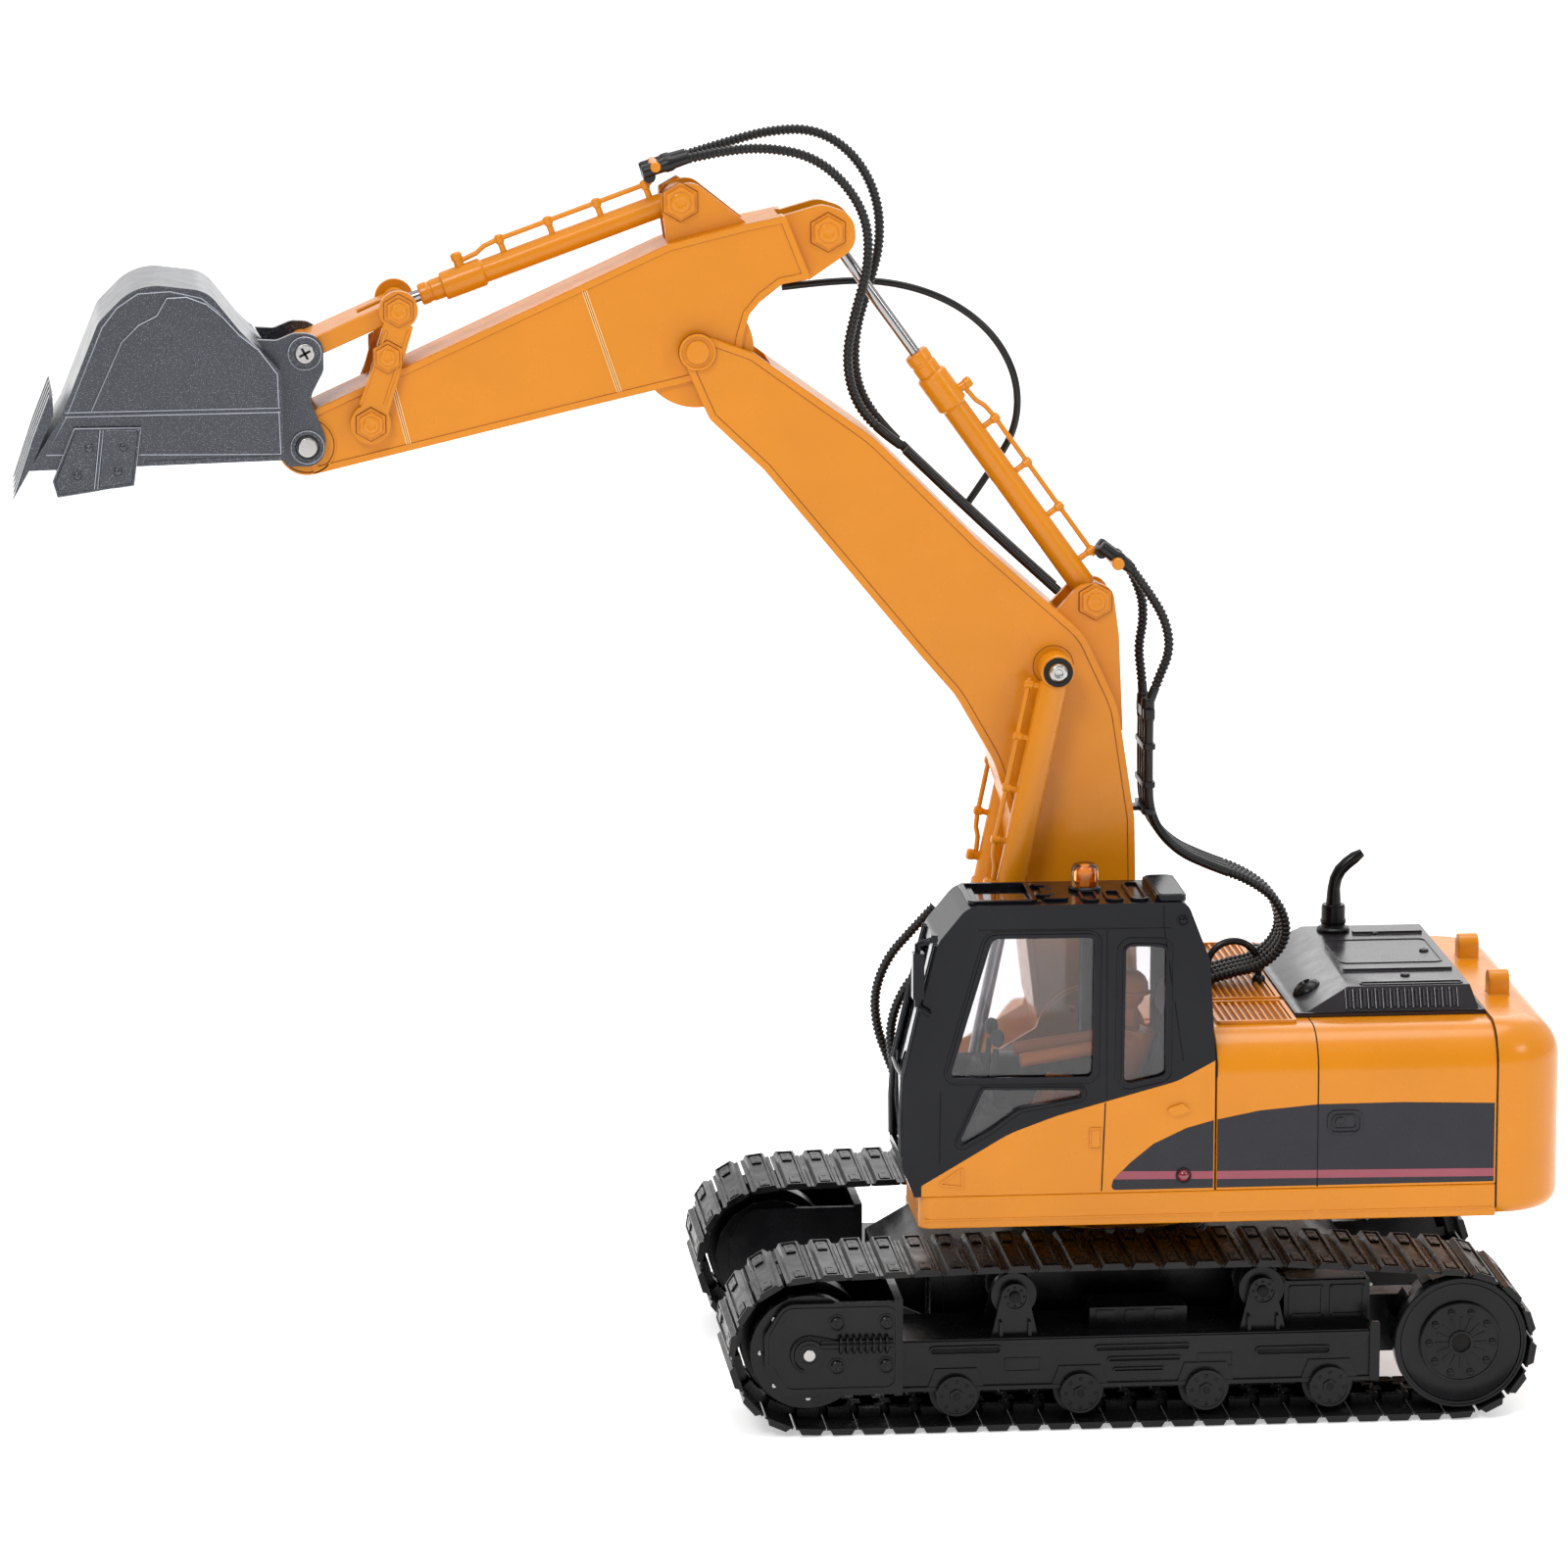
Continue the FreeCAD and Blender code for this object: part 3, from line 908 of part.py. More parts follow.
def build_bucket():
    deep = [(-254.0, 275.0)] + BUCKET_SIDE[1:-1] + [(-340.4, 275.0)]
    outer = side_plate(deep, -BUCKET_HALF, BUCKET_HALF)
    inner = inset(deep, 1.8, -BUCKET_HALF + 1.8, BUCKET_HALF - 1.8)
    keep = side_plate([(-240, 292.2), (-254.0, 292.2), (-297.8, 291.0), (-332, 290.0), (-352, 360),
                       (-240, 360)], -40, 40)
    shell = outer.cut(inner).common(keep)
    ears_line = [(-262.0, 327.5), (-256.3, 327.2, 3.0), (-251.0, 329.4, 5.0), (-242.4, 329.0, 5.5),
                 (-242.2, 318.0, 4.0), (-246.6, 309.5, 6.0), (-241.8, 297.5, 5.0), (-242.6, 288.8, 5.4),
                 (-254.3, 289.0, 2.0), (-256.5, 318.0)]
    ears = both_sides(side_plate(ears_line, -EAR_OUT, -EAR_IN))
    bosses = []
    for centre in (BUCKET_TOP_PIN, BUCKET_LOW_PIN):
        bosses += both_sides(cyl_y(centre, 4.8, -EAR_OUT - 0.5, -EAR_OUT))
    bowl = shell.cut(cyl_y(BUCKET_LOW_PIN, STICK_TIP_R + 0.9, -EAR_IN, EAR_IN))
    bowl = bowl.cut(cyl_y(BUCKET_TOP_PIN, 4.6, -EAR_IN, EAR_IN))
    saddle = cyl_y(BUCKET_LOW_PIN, STICK_TIP_R + 2.7, -EAR_IN - 1.6, EAR_IN + 1.6)
    saddle = saddle.cut(cyl_y(BUCKET_LOW_PIN, STICK_TIP_R + 0.9, -EAR_IN, EAR_IN))
    saddle = saddle.common(side_plate([(-254.6, 292.2), (-255.6, 309.0), (-275, 309.0), (-275, 291.6)],
                                      -40, 40))
    cutter_line = [(-317.5, 303.0, 1.0), (-297.3, 303.0, 1.0), (-299.6, 285.4, 1.0), (-322.6, 282.0, 1.0),
                   (-324.0, 287.0, 1.0)]
    cutters = both_sides(side_plate(cutter_line, -BUCKET_HALF - 1.4, -BUCKET_HALF))
    body = fuse([bowl, saddle] + ears + bosses + cutters)
    body = body.cut([cyl_y(BUCKET_TOP_PIN, 2.0, -40, 40), cyl_y(BUCKET_LOW_PIN, 2.0, -40, 40)])
    teeth = []
    count = 5
    width = 5.2
    gap = (2 * BUCKET_HALF - count * width) / (count - 1)
    for i in range(count):
        y0 = -BUCKET_HALF + i * (width + gap)
        teeth.append(side_plate([(-323.4, 306.6), (-324.6, 312.6), (-329.6, 300.0), (-336.0, 281.2),
                                 (-330.8, 290.2), (-329.9, 292.0)], y0, y0 + width))
    save("bucket_bowl", fuse([body] + teeth))
    pins = [cyl_y(BUCKET_LOW_PIN, 2.0, -EAR_OUT - 0.5, EAR_OUT + 0.5)]
    heads = []
    for centre in (BUCKET_TOP_PIN, BUCKET_LOW_PIN):
        heads += both_sides(cyl_y(centre, 3.0, -EAR_OUT - 1.6, -EAR_OUT - 0.5))
    low = fuse([pins[0]] + heads[2:])
    stubs = both_sides(cyl_y(BUCKET_TOP_PIN, 2.0, -EAR_OUT - 0.5, -EAR_IN))
    top = [fuse([heads[k], stubs[k]]) for k in (0, 1)]
    save("bucket_pins", [low] + top)


# ---- hoses --------------------------------------------------------------
def build_hoses():
    over_pivot = [hose(BUCKET_HOSE, HOSE_R, "bucket hose"), hose(BUCKET_HOSE_2, HOSE_R, "bucket hose 2"),
                  hose(MOTOR_WIRE, WIRE_R, "motor wire")]
    save("stick_hoses", over_pivot)
    save("boom_pipes", boom_pipes())
    save("stick_cylinder_hoses", [hose(BASE_HOSE, HOSE_R, "base hose"),
                                  hose(BASE_HOSE_2, HOSE_R, "base hose 2")])
    bundle = [hose([(x, y + offset, z) for x, y, z in BUNDLE], HOSE_R, "bundle") for offset in BUNDLE_Y]
    save("house_hose_bundle", bundle)
    far_foot = [(x, -y, z) for x, y, z in FOOT_HOSE]
    feet = [hose(FOOT_HOSE, HOSE_R, "foot hose"), hose(far_foot, HOSE_R, "foot hose 2")]
    save("boom_cylinder_hoses", feet)


os.makedirs("parts", exist_ok=True)
build_tracks()
for name, flip in (("left_track_frame", False), ("right_track_frame", True)):
    frame_shape = track_frame()
    save(name, mirrored(frame_shape) if flip else frame_shape)
build_wheels()
build_axles()
build_chassis()
build_deck()
build_shell()
build_counterweight()
build_hood()
build_exhaust()
build_cab()
build_cab_inside()
build_bracket()
build_house_inside()
build_boom()
build_boom_inside()
build_cylinders()
build_stick()
build_linkage()
build_bucket()
build_hoses()
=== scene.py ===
import bpy
import bmesh
import json
import math
from mathutils import Matrix, Vector

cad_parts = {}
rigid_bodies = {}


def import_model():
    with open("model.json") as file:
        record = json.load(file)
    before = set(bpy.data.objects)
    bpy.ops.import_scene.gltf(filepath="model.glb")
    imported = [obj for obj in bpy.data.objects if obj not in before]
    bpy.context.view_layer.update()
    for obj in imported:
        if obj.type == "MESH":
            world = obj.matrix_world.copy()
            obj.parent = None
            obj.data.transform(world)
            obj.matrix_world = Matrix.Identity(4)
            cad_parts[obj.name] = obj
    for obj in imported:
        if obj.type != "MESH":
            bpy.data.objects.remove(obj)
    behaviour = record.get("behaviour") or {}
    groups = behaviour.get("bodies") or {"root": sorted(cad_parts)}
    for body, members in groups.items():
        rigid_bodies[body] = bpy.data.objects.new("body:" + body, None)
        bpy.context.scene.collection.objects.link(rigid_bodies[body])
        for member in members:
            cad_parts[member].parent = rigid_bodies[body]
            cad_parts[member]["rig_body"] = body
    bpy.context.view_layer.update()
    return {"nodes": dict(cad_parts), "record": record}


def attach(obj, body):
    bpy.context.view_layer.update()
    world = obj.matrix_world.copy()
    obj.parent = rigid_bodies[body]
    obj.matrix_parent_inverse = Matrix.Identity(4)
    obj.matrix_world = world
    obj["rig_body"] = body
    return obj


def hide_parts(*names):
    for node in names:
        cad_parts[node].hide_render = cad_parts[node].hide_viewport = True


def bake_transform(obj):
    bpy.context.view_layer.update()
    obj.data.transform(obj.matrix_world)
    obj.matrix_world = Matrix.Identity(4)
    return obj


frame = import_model()
CAD = frame["nodes"]

# The helpers take millimetres and every finished mesh is in metres.
# +Z is up, the bucket points along -X and the cab is on the -Y side.
MM = 0.001
SIDES = (-1, 1)


# ---- outlines -----------------------------------------------------------
def rounded(points, steps=6):
    """Closed outline from (a, b) or (a, b, corner radius)."""
    result = []
    count = len(points)
    for i, point in enumerate(points):
        here = Vector(point[:2])
        radius = point[2] if len(point) > 2 else 0.0
        if radius <= 0:
            result.append(here)
            continue
        u = (Vector(points[i - 1][:2]) - here).normalized()
        w = (Vector(points[(i + 1) % count][:2]) - here).normalized()
        half = u.angle(w) / 2
        centre = here + (u + w).normalized() * (radius / math.sin(half))
        first = here + u * (radius / math.tan(half)) - centre
        last = here + w * (radius / math.tan(half)) - centre
        turn = first.angle_signed(last)
        for k in range(steps + 1):
            result.append(centre + Matrix.Rotation(-turn * k / steps, 2) @ first)
    return result


def rectangle(a0, a1, b0, b1, radius=0.0):
    return rounded([(a0, b0, radius), (a1, b0, radius), (a1, b1, radius), (a0, b1, radius)])


def circle(centre, r, steps=32, start=0.0):
    turn = 2 * math.pi / steps
    return [Vector((centre[0] + r * math.cos(turn * k + start), centre[1] + r * math.sin(turn * k + start)))
            for k in range(steps)]


def arc(centre, r, start, end, steps=12):
    """Points on a circle between two angles in degrees."""
    angles = [math.radians(start + (end - start) * k / steps) for k in range(steps + 1)]
    return [Vector((centre[0] + r * math.cos(t), centre[1] + r * math.sin(t))) for t in angles]


PLACE = {"x": lambda a, b, t: Vector((t, a, b)), "y": lambda a, b, t: Vector((a, t, b)),
         "z": lambda a, b, t: Vector((a, b, t))}


# ---- solids in a bmesh --------------------------------------------------
def skin(bm, rings, closed_ends=True):
    """Faces between rings of equal length, with capped ends."""
    count = len(rings[0])
    for lower, upper in zip(rings, rings[1:]):
        for k in range(count):
            corners = [lower[k], lower[(k + 1) % count], upper[(k + 1) % count], upper[k]]
            bm.faces.new(list(dict.fromkeys(corners)))
    if closed_ends:
        bm.faces.new(rings[0][::-1])
        bm.faces.new(rings[-1])


def prism(bm, outline, low, high, axis="y"):
    """Outline in the plane across `axis`, thickened from low to high."""
    rings = [[bm.verts.new(PLACE[axis](p[0], p[1], t)) for p in outline] for t in (low, high)]
    skin(bm, rings)


def tapered(bm, outline, low, high, shrink, axis="y"):
    """A prism whose far face is scaled about the outline's middle."""
    middle = sum((Vector(p[:2]) for p in outline), Vector((0, 0))) / len(outline)
    near = [bm.verts.new(PLACE[axis](p[0], p[1], low)) for p in outline]
    far = []
    for p in outline:
        q = middle + (Vector(p[:2]) - middle) * shrink
        far.append(bm.verts.new(PLACE[axis](q.x, q.y, high)))
    skin(bm, [near, far])


def block(bm, x0, x1, y0, y1, z0, z1, radius=0.0):
    prism(bm, rectangle(x0, x1, y0, y1, radius), z0, z1, "z")


def turned(bm, profile, centre, axis="y", steps=40):
    """Solid of revolution about `axis` from (radius, place along the axis)."""
    rings = []
    for r, t in profile:
        rings.append([bm.verts.new(PLACE[axis](p.x, p.y, t)) for p in circle(centre, max(r, 1e-4), steps)])
    skin(bm, rings)


def along(bm, profile, start, end, steps=36):
    """Solid of revolution from (radius, distance from start) round the line start-end."""
    turn = (end - start).to_track_quat("Z", "Y").to_matrix()
    rings = []
    for r, t in profile:
        points = circle((0, 0), max(r, 1e-3), steps)
        rings.append([bm.verts.new(start + turn @ Vector((p.x, p.y, t))) for p in points])
    skin(bm, rings)


def offset_loop(points, distance):
    """Closed outline moved inward by a distance, or outward by a negative one."""
    area = sum(a[0] * b[1] - b[0] * a[1] for a, b in zip(points, points[1:] + points[:1]))
    distance = math.copysign(1, area) * distance
    result = []
    for i, point in enumerate(points):
        here = Vector(point[:2])
        u = (here - Vector(points[i - 1][:2])).normalized()
        w = (Vector(points[(i + 1) % len(points)][:2]) - here).normalized()
        n, m = Vector((-u.y, u.x)), Vector((-w.y, w.x))
        result.append(here + (n + m) * (distance / max(1 + n.dot(m), 0.3)))
    return result


def border(bm, points, width, low, high, axis="y"):
    """Raised frame just inside a closed outline."""
    inner = offset_loop(points, width)
    rings = []
    for line, t in ((inner, low), (points, low), (points, high), (inner, high)):
        rings.append([bm.verts.new(PLACE[axis](p[0], p[1], t)) for p in line])
    skin(bm, rings + rings[:1], False)


def dome(bm, centre, r, base, height, axis="y", steps=28):
    """Rounded cap on a flat base; a negative height points down the axis."""
    profile = [(r, base)] + [(r * math.cos(t), base + height * math.sin(t))
                             for t in (0.25, 0.6, 0.95, 1.25, 1.5)]
    turned(bm, profile, centre, axis, steps)


def swept(bm, path, radius_at, sides=12):
    """Round tube along points; radius_at gives the radius at a share of the point list."""
    frames = []
    normal = None
    for i, here in enumerate(path):
        tangent = (path[min(i + 1, len(path) - 1)] - path[max(i - 1, 0)]).normalized()
        if normal is None:
            normal = tangent.orthogonal().normalized()
        normal = (normal - tangent * normal.dot(tangent)).normalized()
        frames.append((here, normal, tangent.cross(normal)))
    rings = []
    for i, (here, n, b) in enumerate(frames):
        r = radius_at(i) if callable(radius_at) else radius_at
        rings.append([bm.verts.new(here + (n * math.cos(t) + b * math.sin(t)) * r)
                      for t in (2 * math.pi * k / sides for k in range(sides))])
    skin(bm, rings)


def line_bar(bm, points, width, low, high, axis="y"):
    """Thin raised line that follows points in the plane across `axis`."""
    points = [Vector(p[:2]) for p in points]
    left, right = [], []
    for i, here in enumerate(points):
        along = (points[min(i + 1, len(points) - 1)] - points[max(i - 1, 0)]).normalized()
        across = Vector((-along.y, along.x)) * width / 2
        left.append(here + across)
        right.append(here - across)
    prism(bm, left + right[::-1], low, high, axis)


def mirror_y(bm):
    """Adds the mirror image across the X-Z plane."""
    made = bmesh.ops.duplicate(bm, geom=bm.verts[:] + bm.edges[:] + bm.faces[:])["geom"]
    verts = [g for g in made if isinstance(g, bmesh.types.BMVert)]
    faces = [g for g in made if isinstance(g, bmesh.types.BMFace)]
    bmesh.ops.scale(bm, vec=(1, -1, 1), verts=verts)
    bmesh.ops.reverse_faces(bm, faces=faces)


def hexagon(centre, r, lean=30):
    return circle(centre, r, 6, math.radians(lean))


def bolt_circle(bm, centre, ring, count, r, face, rise, axis="y", start=0.0):
    """Small domed bolts on a circle."""
    for spot in circle(centre, ring, count, start):
        dome(bm, spot, r, face, rise, axis, 12)


def placed(bm, matrix, build):
    """Runs build(bm) and moves only what it made."""
    before = len(bm.verts)
    build(bm)
    bmesh.ops.transform(bm, matrix=matrix, verts=list(bm.verts)[before:])


# ---- pieces -------------------------------------------------------------
def dress(obj, material, bevel, smooth, segments=2):
    obj.data.materials.clear()
    obj.data.materials.append(material)
    obj.data.shade_smooth()
    obj.data.set_sharp_from_angle(angle=math.radians(smooth))
    if bevel > 0:
        edge = obj.modifiers.new("edges", "BEVEL")
        edge.width = bevel * MM
        edge.segments = segments
        edge.limit_method = "ANGLE"
        edge.angle_limit = math.radians(smooth)
        edge.harden_normals = False
        normals = obj.modifiers.new("normals", "WEIGHTED_NORMAL")
        normals.keep_sharp = False
        normals.weight = 80


def piece(name, bm, slot, body, bevel=0.2, smooth=35, stands_for=(), in_metres=False, finish=None):
    """Turns a bmesh into a piece that rides on a body."""
    bmesh.ops.recalc_face_normals(bm, faces=bm.faces)
    if not in_metres:
        bmesh.ops.scale(bm, vec=(MM, MM, MM), verts=bm.verts)
    mesh = bpy.data.meshes.new(name)
    bm.to_mesh(mesh)
    bm.free()
    obj = bpy.data.objects.new(name, mesh)
    bpy.context.scene.collection.objects.link(obj)
    dress(obj, finish or MATERIALS[slot], bevel, smooth)
    if stands_for:
        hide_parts(*stands_for)
    if body:
        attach(obj, body)
    return obj


def node_bmesh(node):
    """Welded copy of a CAD node's mesh, in metres."""
    bm = bmesh.new()
    bm.from_mesh(CAD[node].data)
    bmesh.ops.remove_doubles(bm, verts=bm.verts, dist=2e-6)
    return bm


def moulded(node, slot, bevel=0.25, change=None, name=None, smooth=35):
    """A CAD node as a moulding: rounded edges, and optionally sunk or cut areas."""
    bm = node_bmesh(node)
    if change:
        change(bm)
    bmesh.ops.dissolve_limit(bm, angle_limit=math.radians(0.6), verts=bm.verts, edges=bm.edges)
    for layer in list(bm.loops.layers.float_vector):
        bm.loops.layers.float_vector.remove(layer)
    return piece(name or node + "_moulding", bm, slot, CAD[node]["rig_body"], bevel, smooth, [node], True)


# ---- materials ----------------------------------------------------------
def linear(rgb):
    """sRGB 0-255 to linear colour."""
    def one(v):
        v /= 255
        return v / 12.92 if v <= 0.04045 else ((v + 0.055) / 1.055) ** 2.4
    return [one(v) for v in rgb] + [1.0]


def noise_node(nodes, links, scale, detail, source):
    noise = nodes.new("ShaderNodeTexNoise")
    noise.inputs["Scale"].default_value = scale
    noise.inputs["Detail"].default_value = detail
    links.new(source, noise.inputs["Vector"])
    return noise.outputs["Fac"]


def spread(nodes, links, source, low, high, from_low=0.3, from_high=0.7):
    """Maps a 0-1 pattern to a range of values."""
    rng = nodes.new("ShaderNodeMapRange")
    rng.inputs["From Min"].default_value = from_low
    rng.inputs["From Max"].default_value = from_high
    rng.inputs["To Min"].default_value = low
    rng.inputs["To Max"].default_value = high
    links.new(source, rng.inputs["Value"])
    return rng.outputs["Result"]


def blended(nodes, links, share, first, second):
    mix = nodes.new("ShaderNodeMix")
    mix.data_type = "RGBA"
    if hasattr(share, "is_linked"):
        links.new(share, mix.inputs["Factor"])
    for socket, value in ((mix.inputs["A"], first), (mix.inputs["B"], second)):
        if hasattr(value, "is_linked"):
            links.new(value, socket)
        else:
            socket.default_value = value
    return mix.outputs["Result"]


def surface(name, colour, rough, grain=(2600, 0.12), blotch=0.05, spread_rough=0.07, metallic=0.0,
            specular=0.5, coat=0.0, coat_rough=0.1, speck=None):
    """Principled material with colour drift, uneven gloss, fine grain and optional bright specks."""
    mat = bpy.data.materials.new(name)
    mat.use_nodes = True
    nodes, links = mat.node_tree.nodes, mat.node_tree.links
    shader = nodes["Principled BSDF"]
    place = nodes.new("ShaderNodeTexCoord").outputs["Object"]
    base = linear(colour)
    dark = [c * (1 - blotch * 1.6) for c in base[:3]] + [1.0]
    light = [min(1.0, c * (1 + blotch) + blotch * 0.02) for c in base[:3]] + [1.0]
    drift = spread(nodes, links, noise_node(nodes, links, 34.0, 4.0, place), 0.0, 1.0)
    shade = blended(nodes, links, drift, dark, light)
    fine = noise_node(nodes, links, grain[0], 2.0, place)
    if speck:
        sparkle = spread(nodes, links, noise_node(nodes, links, speck[0], 1.0, place), 0.0, 1.0, speck[1],
                         speck[1] + 0.1)
        shade = blended(nodes, links, sparkle, shade, linear(speck[2]))
    links.new(shade, shader.inputs["Base Color"])
    uneven = noise_node(nodes, links, 160.0, 5.0, place)
    links.new(spread(nodes, links, uneven, rough - spread_rough, rough + spread_rough),
              shader.inputs["Roughness"])
    shader.inputs["Metallic"].default_value = metallic
    shader.inputs["Specular IOR Level"].default_value = specular
    shader.inputs["Coat Weight"].default_value = coat
    shader.inputs["Coat Roughness"].default_value = coat_rough
    bump = nodes.new("ShaderNodeBump")
    bump.inputs["Strength"].default_value = grain[1]
    bump.inputs["Distance"].default_value = 0.00008
    links.new(fine, bump.inputs["Height"])
    links.new(bump.outputs["Normal"], shader.inputs["Normal"])
    return mat


def clear(name, tint, rough, ior=1.46):
    """Thin see-through plastic with faint wiping marks."""
    mat = surface(name, tint, rough, grain=(900, 0.03), blotch=0.01, spread_rough=rough * 0.6)
    shader = mat.node_tree.nodes["Principled BSDF"]
    shader.inputs["Transmission Weight"].default_value = 1.0
    shader.inputs["IOR"].default_value = ior
    return mat


MATERIALS = {
    "orange_plastic": surface("orange_plastic", (205, 125, 9), 0.3, (2400, 0.06), 0.03, 0.05, specular=0.3,
                              coat=0.14,
                              coat_rough=0.1),
    "black_plastic": surface("black_plastic", (8, 8, 11), 0.24, (2200, 0.12), 0.2, 0.06, specular=0.22),
    "track_plastic": surface("track_plastic", (9, 8, 8), 0.3, (1500, 0.25), 0.25, 0.08, specular=0.26),
    "cab_black": surface("cab_black", (9, 10, 17), 0.16, (2600, 0.04), 0.1, 0.04, specular=0.2),
    "hood_grey": surface("hood_grey", (44, 41, 44), 0.24, (2800, 0.06), 0.06, 0.05, metallic=0.35, coat=0.1),
    "bucket_metal": surface("bucket_metal", (36, 39, 48), 0.36, (1700, 0.3), 0.1, 0.08, metallic=0.4,
                            coat=0.75,
                            coat_rough=0.2, speck=(3200, 0.6, (112, 118, 132))),
    "clear_plastic": clear("clear_plastic", (226, 225, 228), 0.04),
    "amber_plastic": clear("amber_plastic", (255, 176, 96), 0.1),
    "figure_plastic": surface("figure_plastic", (202, 108, 12), 0.42, (2000, 0.15), 0.06, 0.06),
    "seat_plastic": surface("seat_plastic", (30, 30, 35), 0.5, (1400, 0.35), 0.12, 0.1),
    "steel": surface("steel", (176, 174, 172), 0.26, (1800, 0.1), 0.08, 0.1, metallic=1.0),
    "chrome": surface("chrome", (158, 156, 156), 0.14, (1500, 0.05), 0.04, 0.05, metallic=1.0),
    "hose_rubber": surface("hose_rubber", (12, 11, 12), 0.34, (1800, 0.2), 0.2, 0.1, specular=0.35),
    "battery_wrap": surface("battery_wrap", (40, 92, 150), 0.35, (1600, 0.1), 0.08, 0.08),
    "gear_case": surface("gear_case", (188, 184, 172), 0.45, (1500, 0.2), 0.06, 0.08),
    "board_green": surface("board_green", (32, 92, 58), 0.4, (1800, 0.2), 0.1, 0.08),
}
DECAL_BLACK = surface("decal_black", (36, 35, 41), 0.28, (2400, 0.05), 0.06, 0.05, specular=0.25)
DECAL_RED = surface("decal_red", (138, 54, 70), 0.32, (2400, 0.05), 0.06, 0.05, coat=0.2)
# Matte near-black for seams, grooves and pin marks; in the track-frame slots, roller caps and drive hub it is
# painted shade filling the hollows.
DARK_GAP = surface("dark_gap", (12, 10, 9), 0.6, (1500, 0.2), 0.2, 0.1, specular=0.2)
# Darker orange used as painted shade: thin lines along rims, grooves and caps, and the floor under the grille
# bars.
PAINTED_SHADE_ORANGE = surface("painted_shade_orange", (132, 70, 18), 0.5, (1500, 0.2), 0.1, 0.08)
SEAT_GREY = surface("seat_grey", (110, 116, 128), 0.5, (1400, 0.3), 0.08, 0.08)
PALE_TRIM = surface("pale_trim", (176, 178, 182), 0.34, (1800, 0.1), 0.05, 0.06)
# Light bluish grey for painted highlights along the bucket's edges and ridges.
EDGE_HIGHLIGHT = surface("painted_edge_highlight", (168, 172, 182), 0.3, (2400, 0.1), 0.08, 0.05, metallic=0.5, coat=0.4)
# Pale orange for painted highlights along the raised lines on the stick.
PAINTED_HIGHLIGHT_ORANGE = surface("painted_highlight_orange", (240, 186, 110), 0.3, (2400, 0.08), 0.03, 0.05, coat=0.4)
RED_LENS = surface("red_lens", (120, 18, 30), 0.12, (1500, 0.05), 0.05, 0.04, coat=1.0)
BULB = surface("bulb", (246, 196, 120), 0.25, (1500, 0.05), 0.05, 0.05, coat=0.3)


def paint_cad_nodes():
    """Each CAD node that stays takes the finish of its record slot."""
    for entry in frame["record"]["subparts"]:
        mesh = CAD[entry["node"]].data
        mesh.materials.clear()
        mesh.materials.append(MATERIALS[entry["material_slot"]])


# ---- stage --------------------------------------------------------------
def studio_world():
    """White studio that is bright overhead and behind, and dimmer in front."""
    world = bpy.data.worlds.new("studio")
    world.use_nodes = True
    nodes, links = world.node_tree.nodes, world.node_tree.links
    toward = nodes.new("ShaderNodeVectorMath")
    toward.operation = "DOT_PRODUCT"
    toward.inputs[1].default_value = (0.0, 0.7, 0.72)
    links.new(nodes.new("ShaderNodeTexCoord").outputs["Generated"], toward.inputs[0])
    links.new(spread(nodes, links, toward.outputs["Value"], 0.3, 1.0, -0.25, 0.6),
              nodes["Background"].inputs["Strength"])
    nodes["Background"].inputs["Color"].default_value = (1.0, 1.0, 1.0, 1.0)
    return world


def build_stage():
    bm = bmesh.new()
    bmesh.ops.create_grid(bm, x_segments=1, y_segments=1, size=12)
    mesh = bpy.data.meshes.new("floor")
    bm.to_mesh(mesh)
    bm.free()
    floor = bpy.data.objects.new("floor", mesh)
    floor.location.z = -0.0004
    bpy.context.scene.collection.objects.link(floor)
    paper = surface("floor_paper", (243, 243, 243), 0.8, (300, 0.02), 0.004, 0.04, specular=0.1)
    glow = paper.node_tree.nodes["Principled BSDF"]
    glow.inputs["Emission Color"].default_value = (1.0, 1.0, 1.0, 1.0)
    glow.inputs["Emission Strength"].default_value = 0.42
    mesh.materials.append(paper)
    bpy.context.scene.world = studio_world()
    aim = Vector((-0.08, 0, 0.18))
    for name, place, size, power in (("key", (-1.3, -2.0, 2.3), 0.9, 36.0),
                                     ("fill", (1.9, -1.7, 1.5), 0.7, 12.0),
                                     ("top", (0.1, 0.3, 2.6), 1.4, 26.0),
                                     ("back", (0.8, 2.4, 1.6), 1.6, 12.0)):
        data = bpy.data.lights.new(name, "AREA")
        data.size = size
        data.energy = power
        light = bpy.data.objects.new(name, data)
        light.location = place
        light.rotation_euler = (aim - Vector(place)).to_track_quat("-Z", "Y").to_euler()
        bpy.context.scene.collection.objects.link(light)


CAMERA_PLACE = (-0.328393, -2.353585, 0.653808)
CAMERA_PITCH, CAMERA_YAW = 11.2, 5.5


def build_camera():
    data = bpy.data.cameras.new("camera")
    data.lens = 180.0
    data.sensor_width = 36.0
    data.clip_start, data.clip_end = 0.05, 50.0
    camera = bpy.data.objects.new("camera", data)
    camera.location = CAMERA_PLACE
    camera.rotation_euler = (math.radians(90 - CAMERA_PITCH), 0, math.radians(-CAMERA_YAW))
    bpy.context.scene.collection.objects.link(camera)
    bpy.context.scene.camera = camera
    bpy.context.scene.view_settings.view_transform = "Standard"


# ---- undercarriage ------------------------------------------------------
IDLER, DRIVE = (-101.5, 25.0), (98.0, 23.4)
BOTTOM_X, BOTTOM_Z = (-56.4, -18.5, 20.0, 58.0), 10.3
TOP_X, TOP_Z = (-38.0, 38.0), 39.3
WHEELS = ("drive_wheel", "idler_wheel", "bottom_roller_1", "bottom_roller_2", "bottom_roller_3",
          "bottom_roller_4")


def shoe_faces(bm):
    """The outer face of every track shoe."""
    shoes = []
    for face in bm.faces:
        centre = face.calc_center_bounds() / MM
        outward = face.normal.dot(Vector((centre.x, 0, centre.z - 25)))
        if face.calc_area() > 200 * MM * MM and abs(face.normal.y) < 0.01 and outward > 0:
            shoes.append(face)
    return shoes


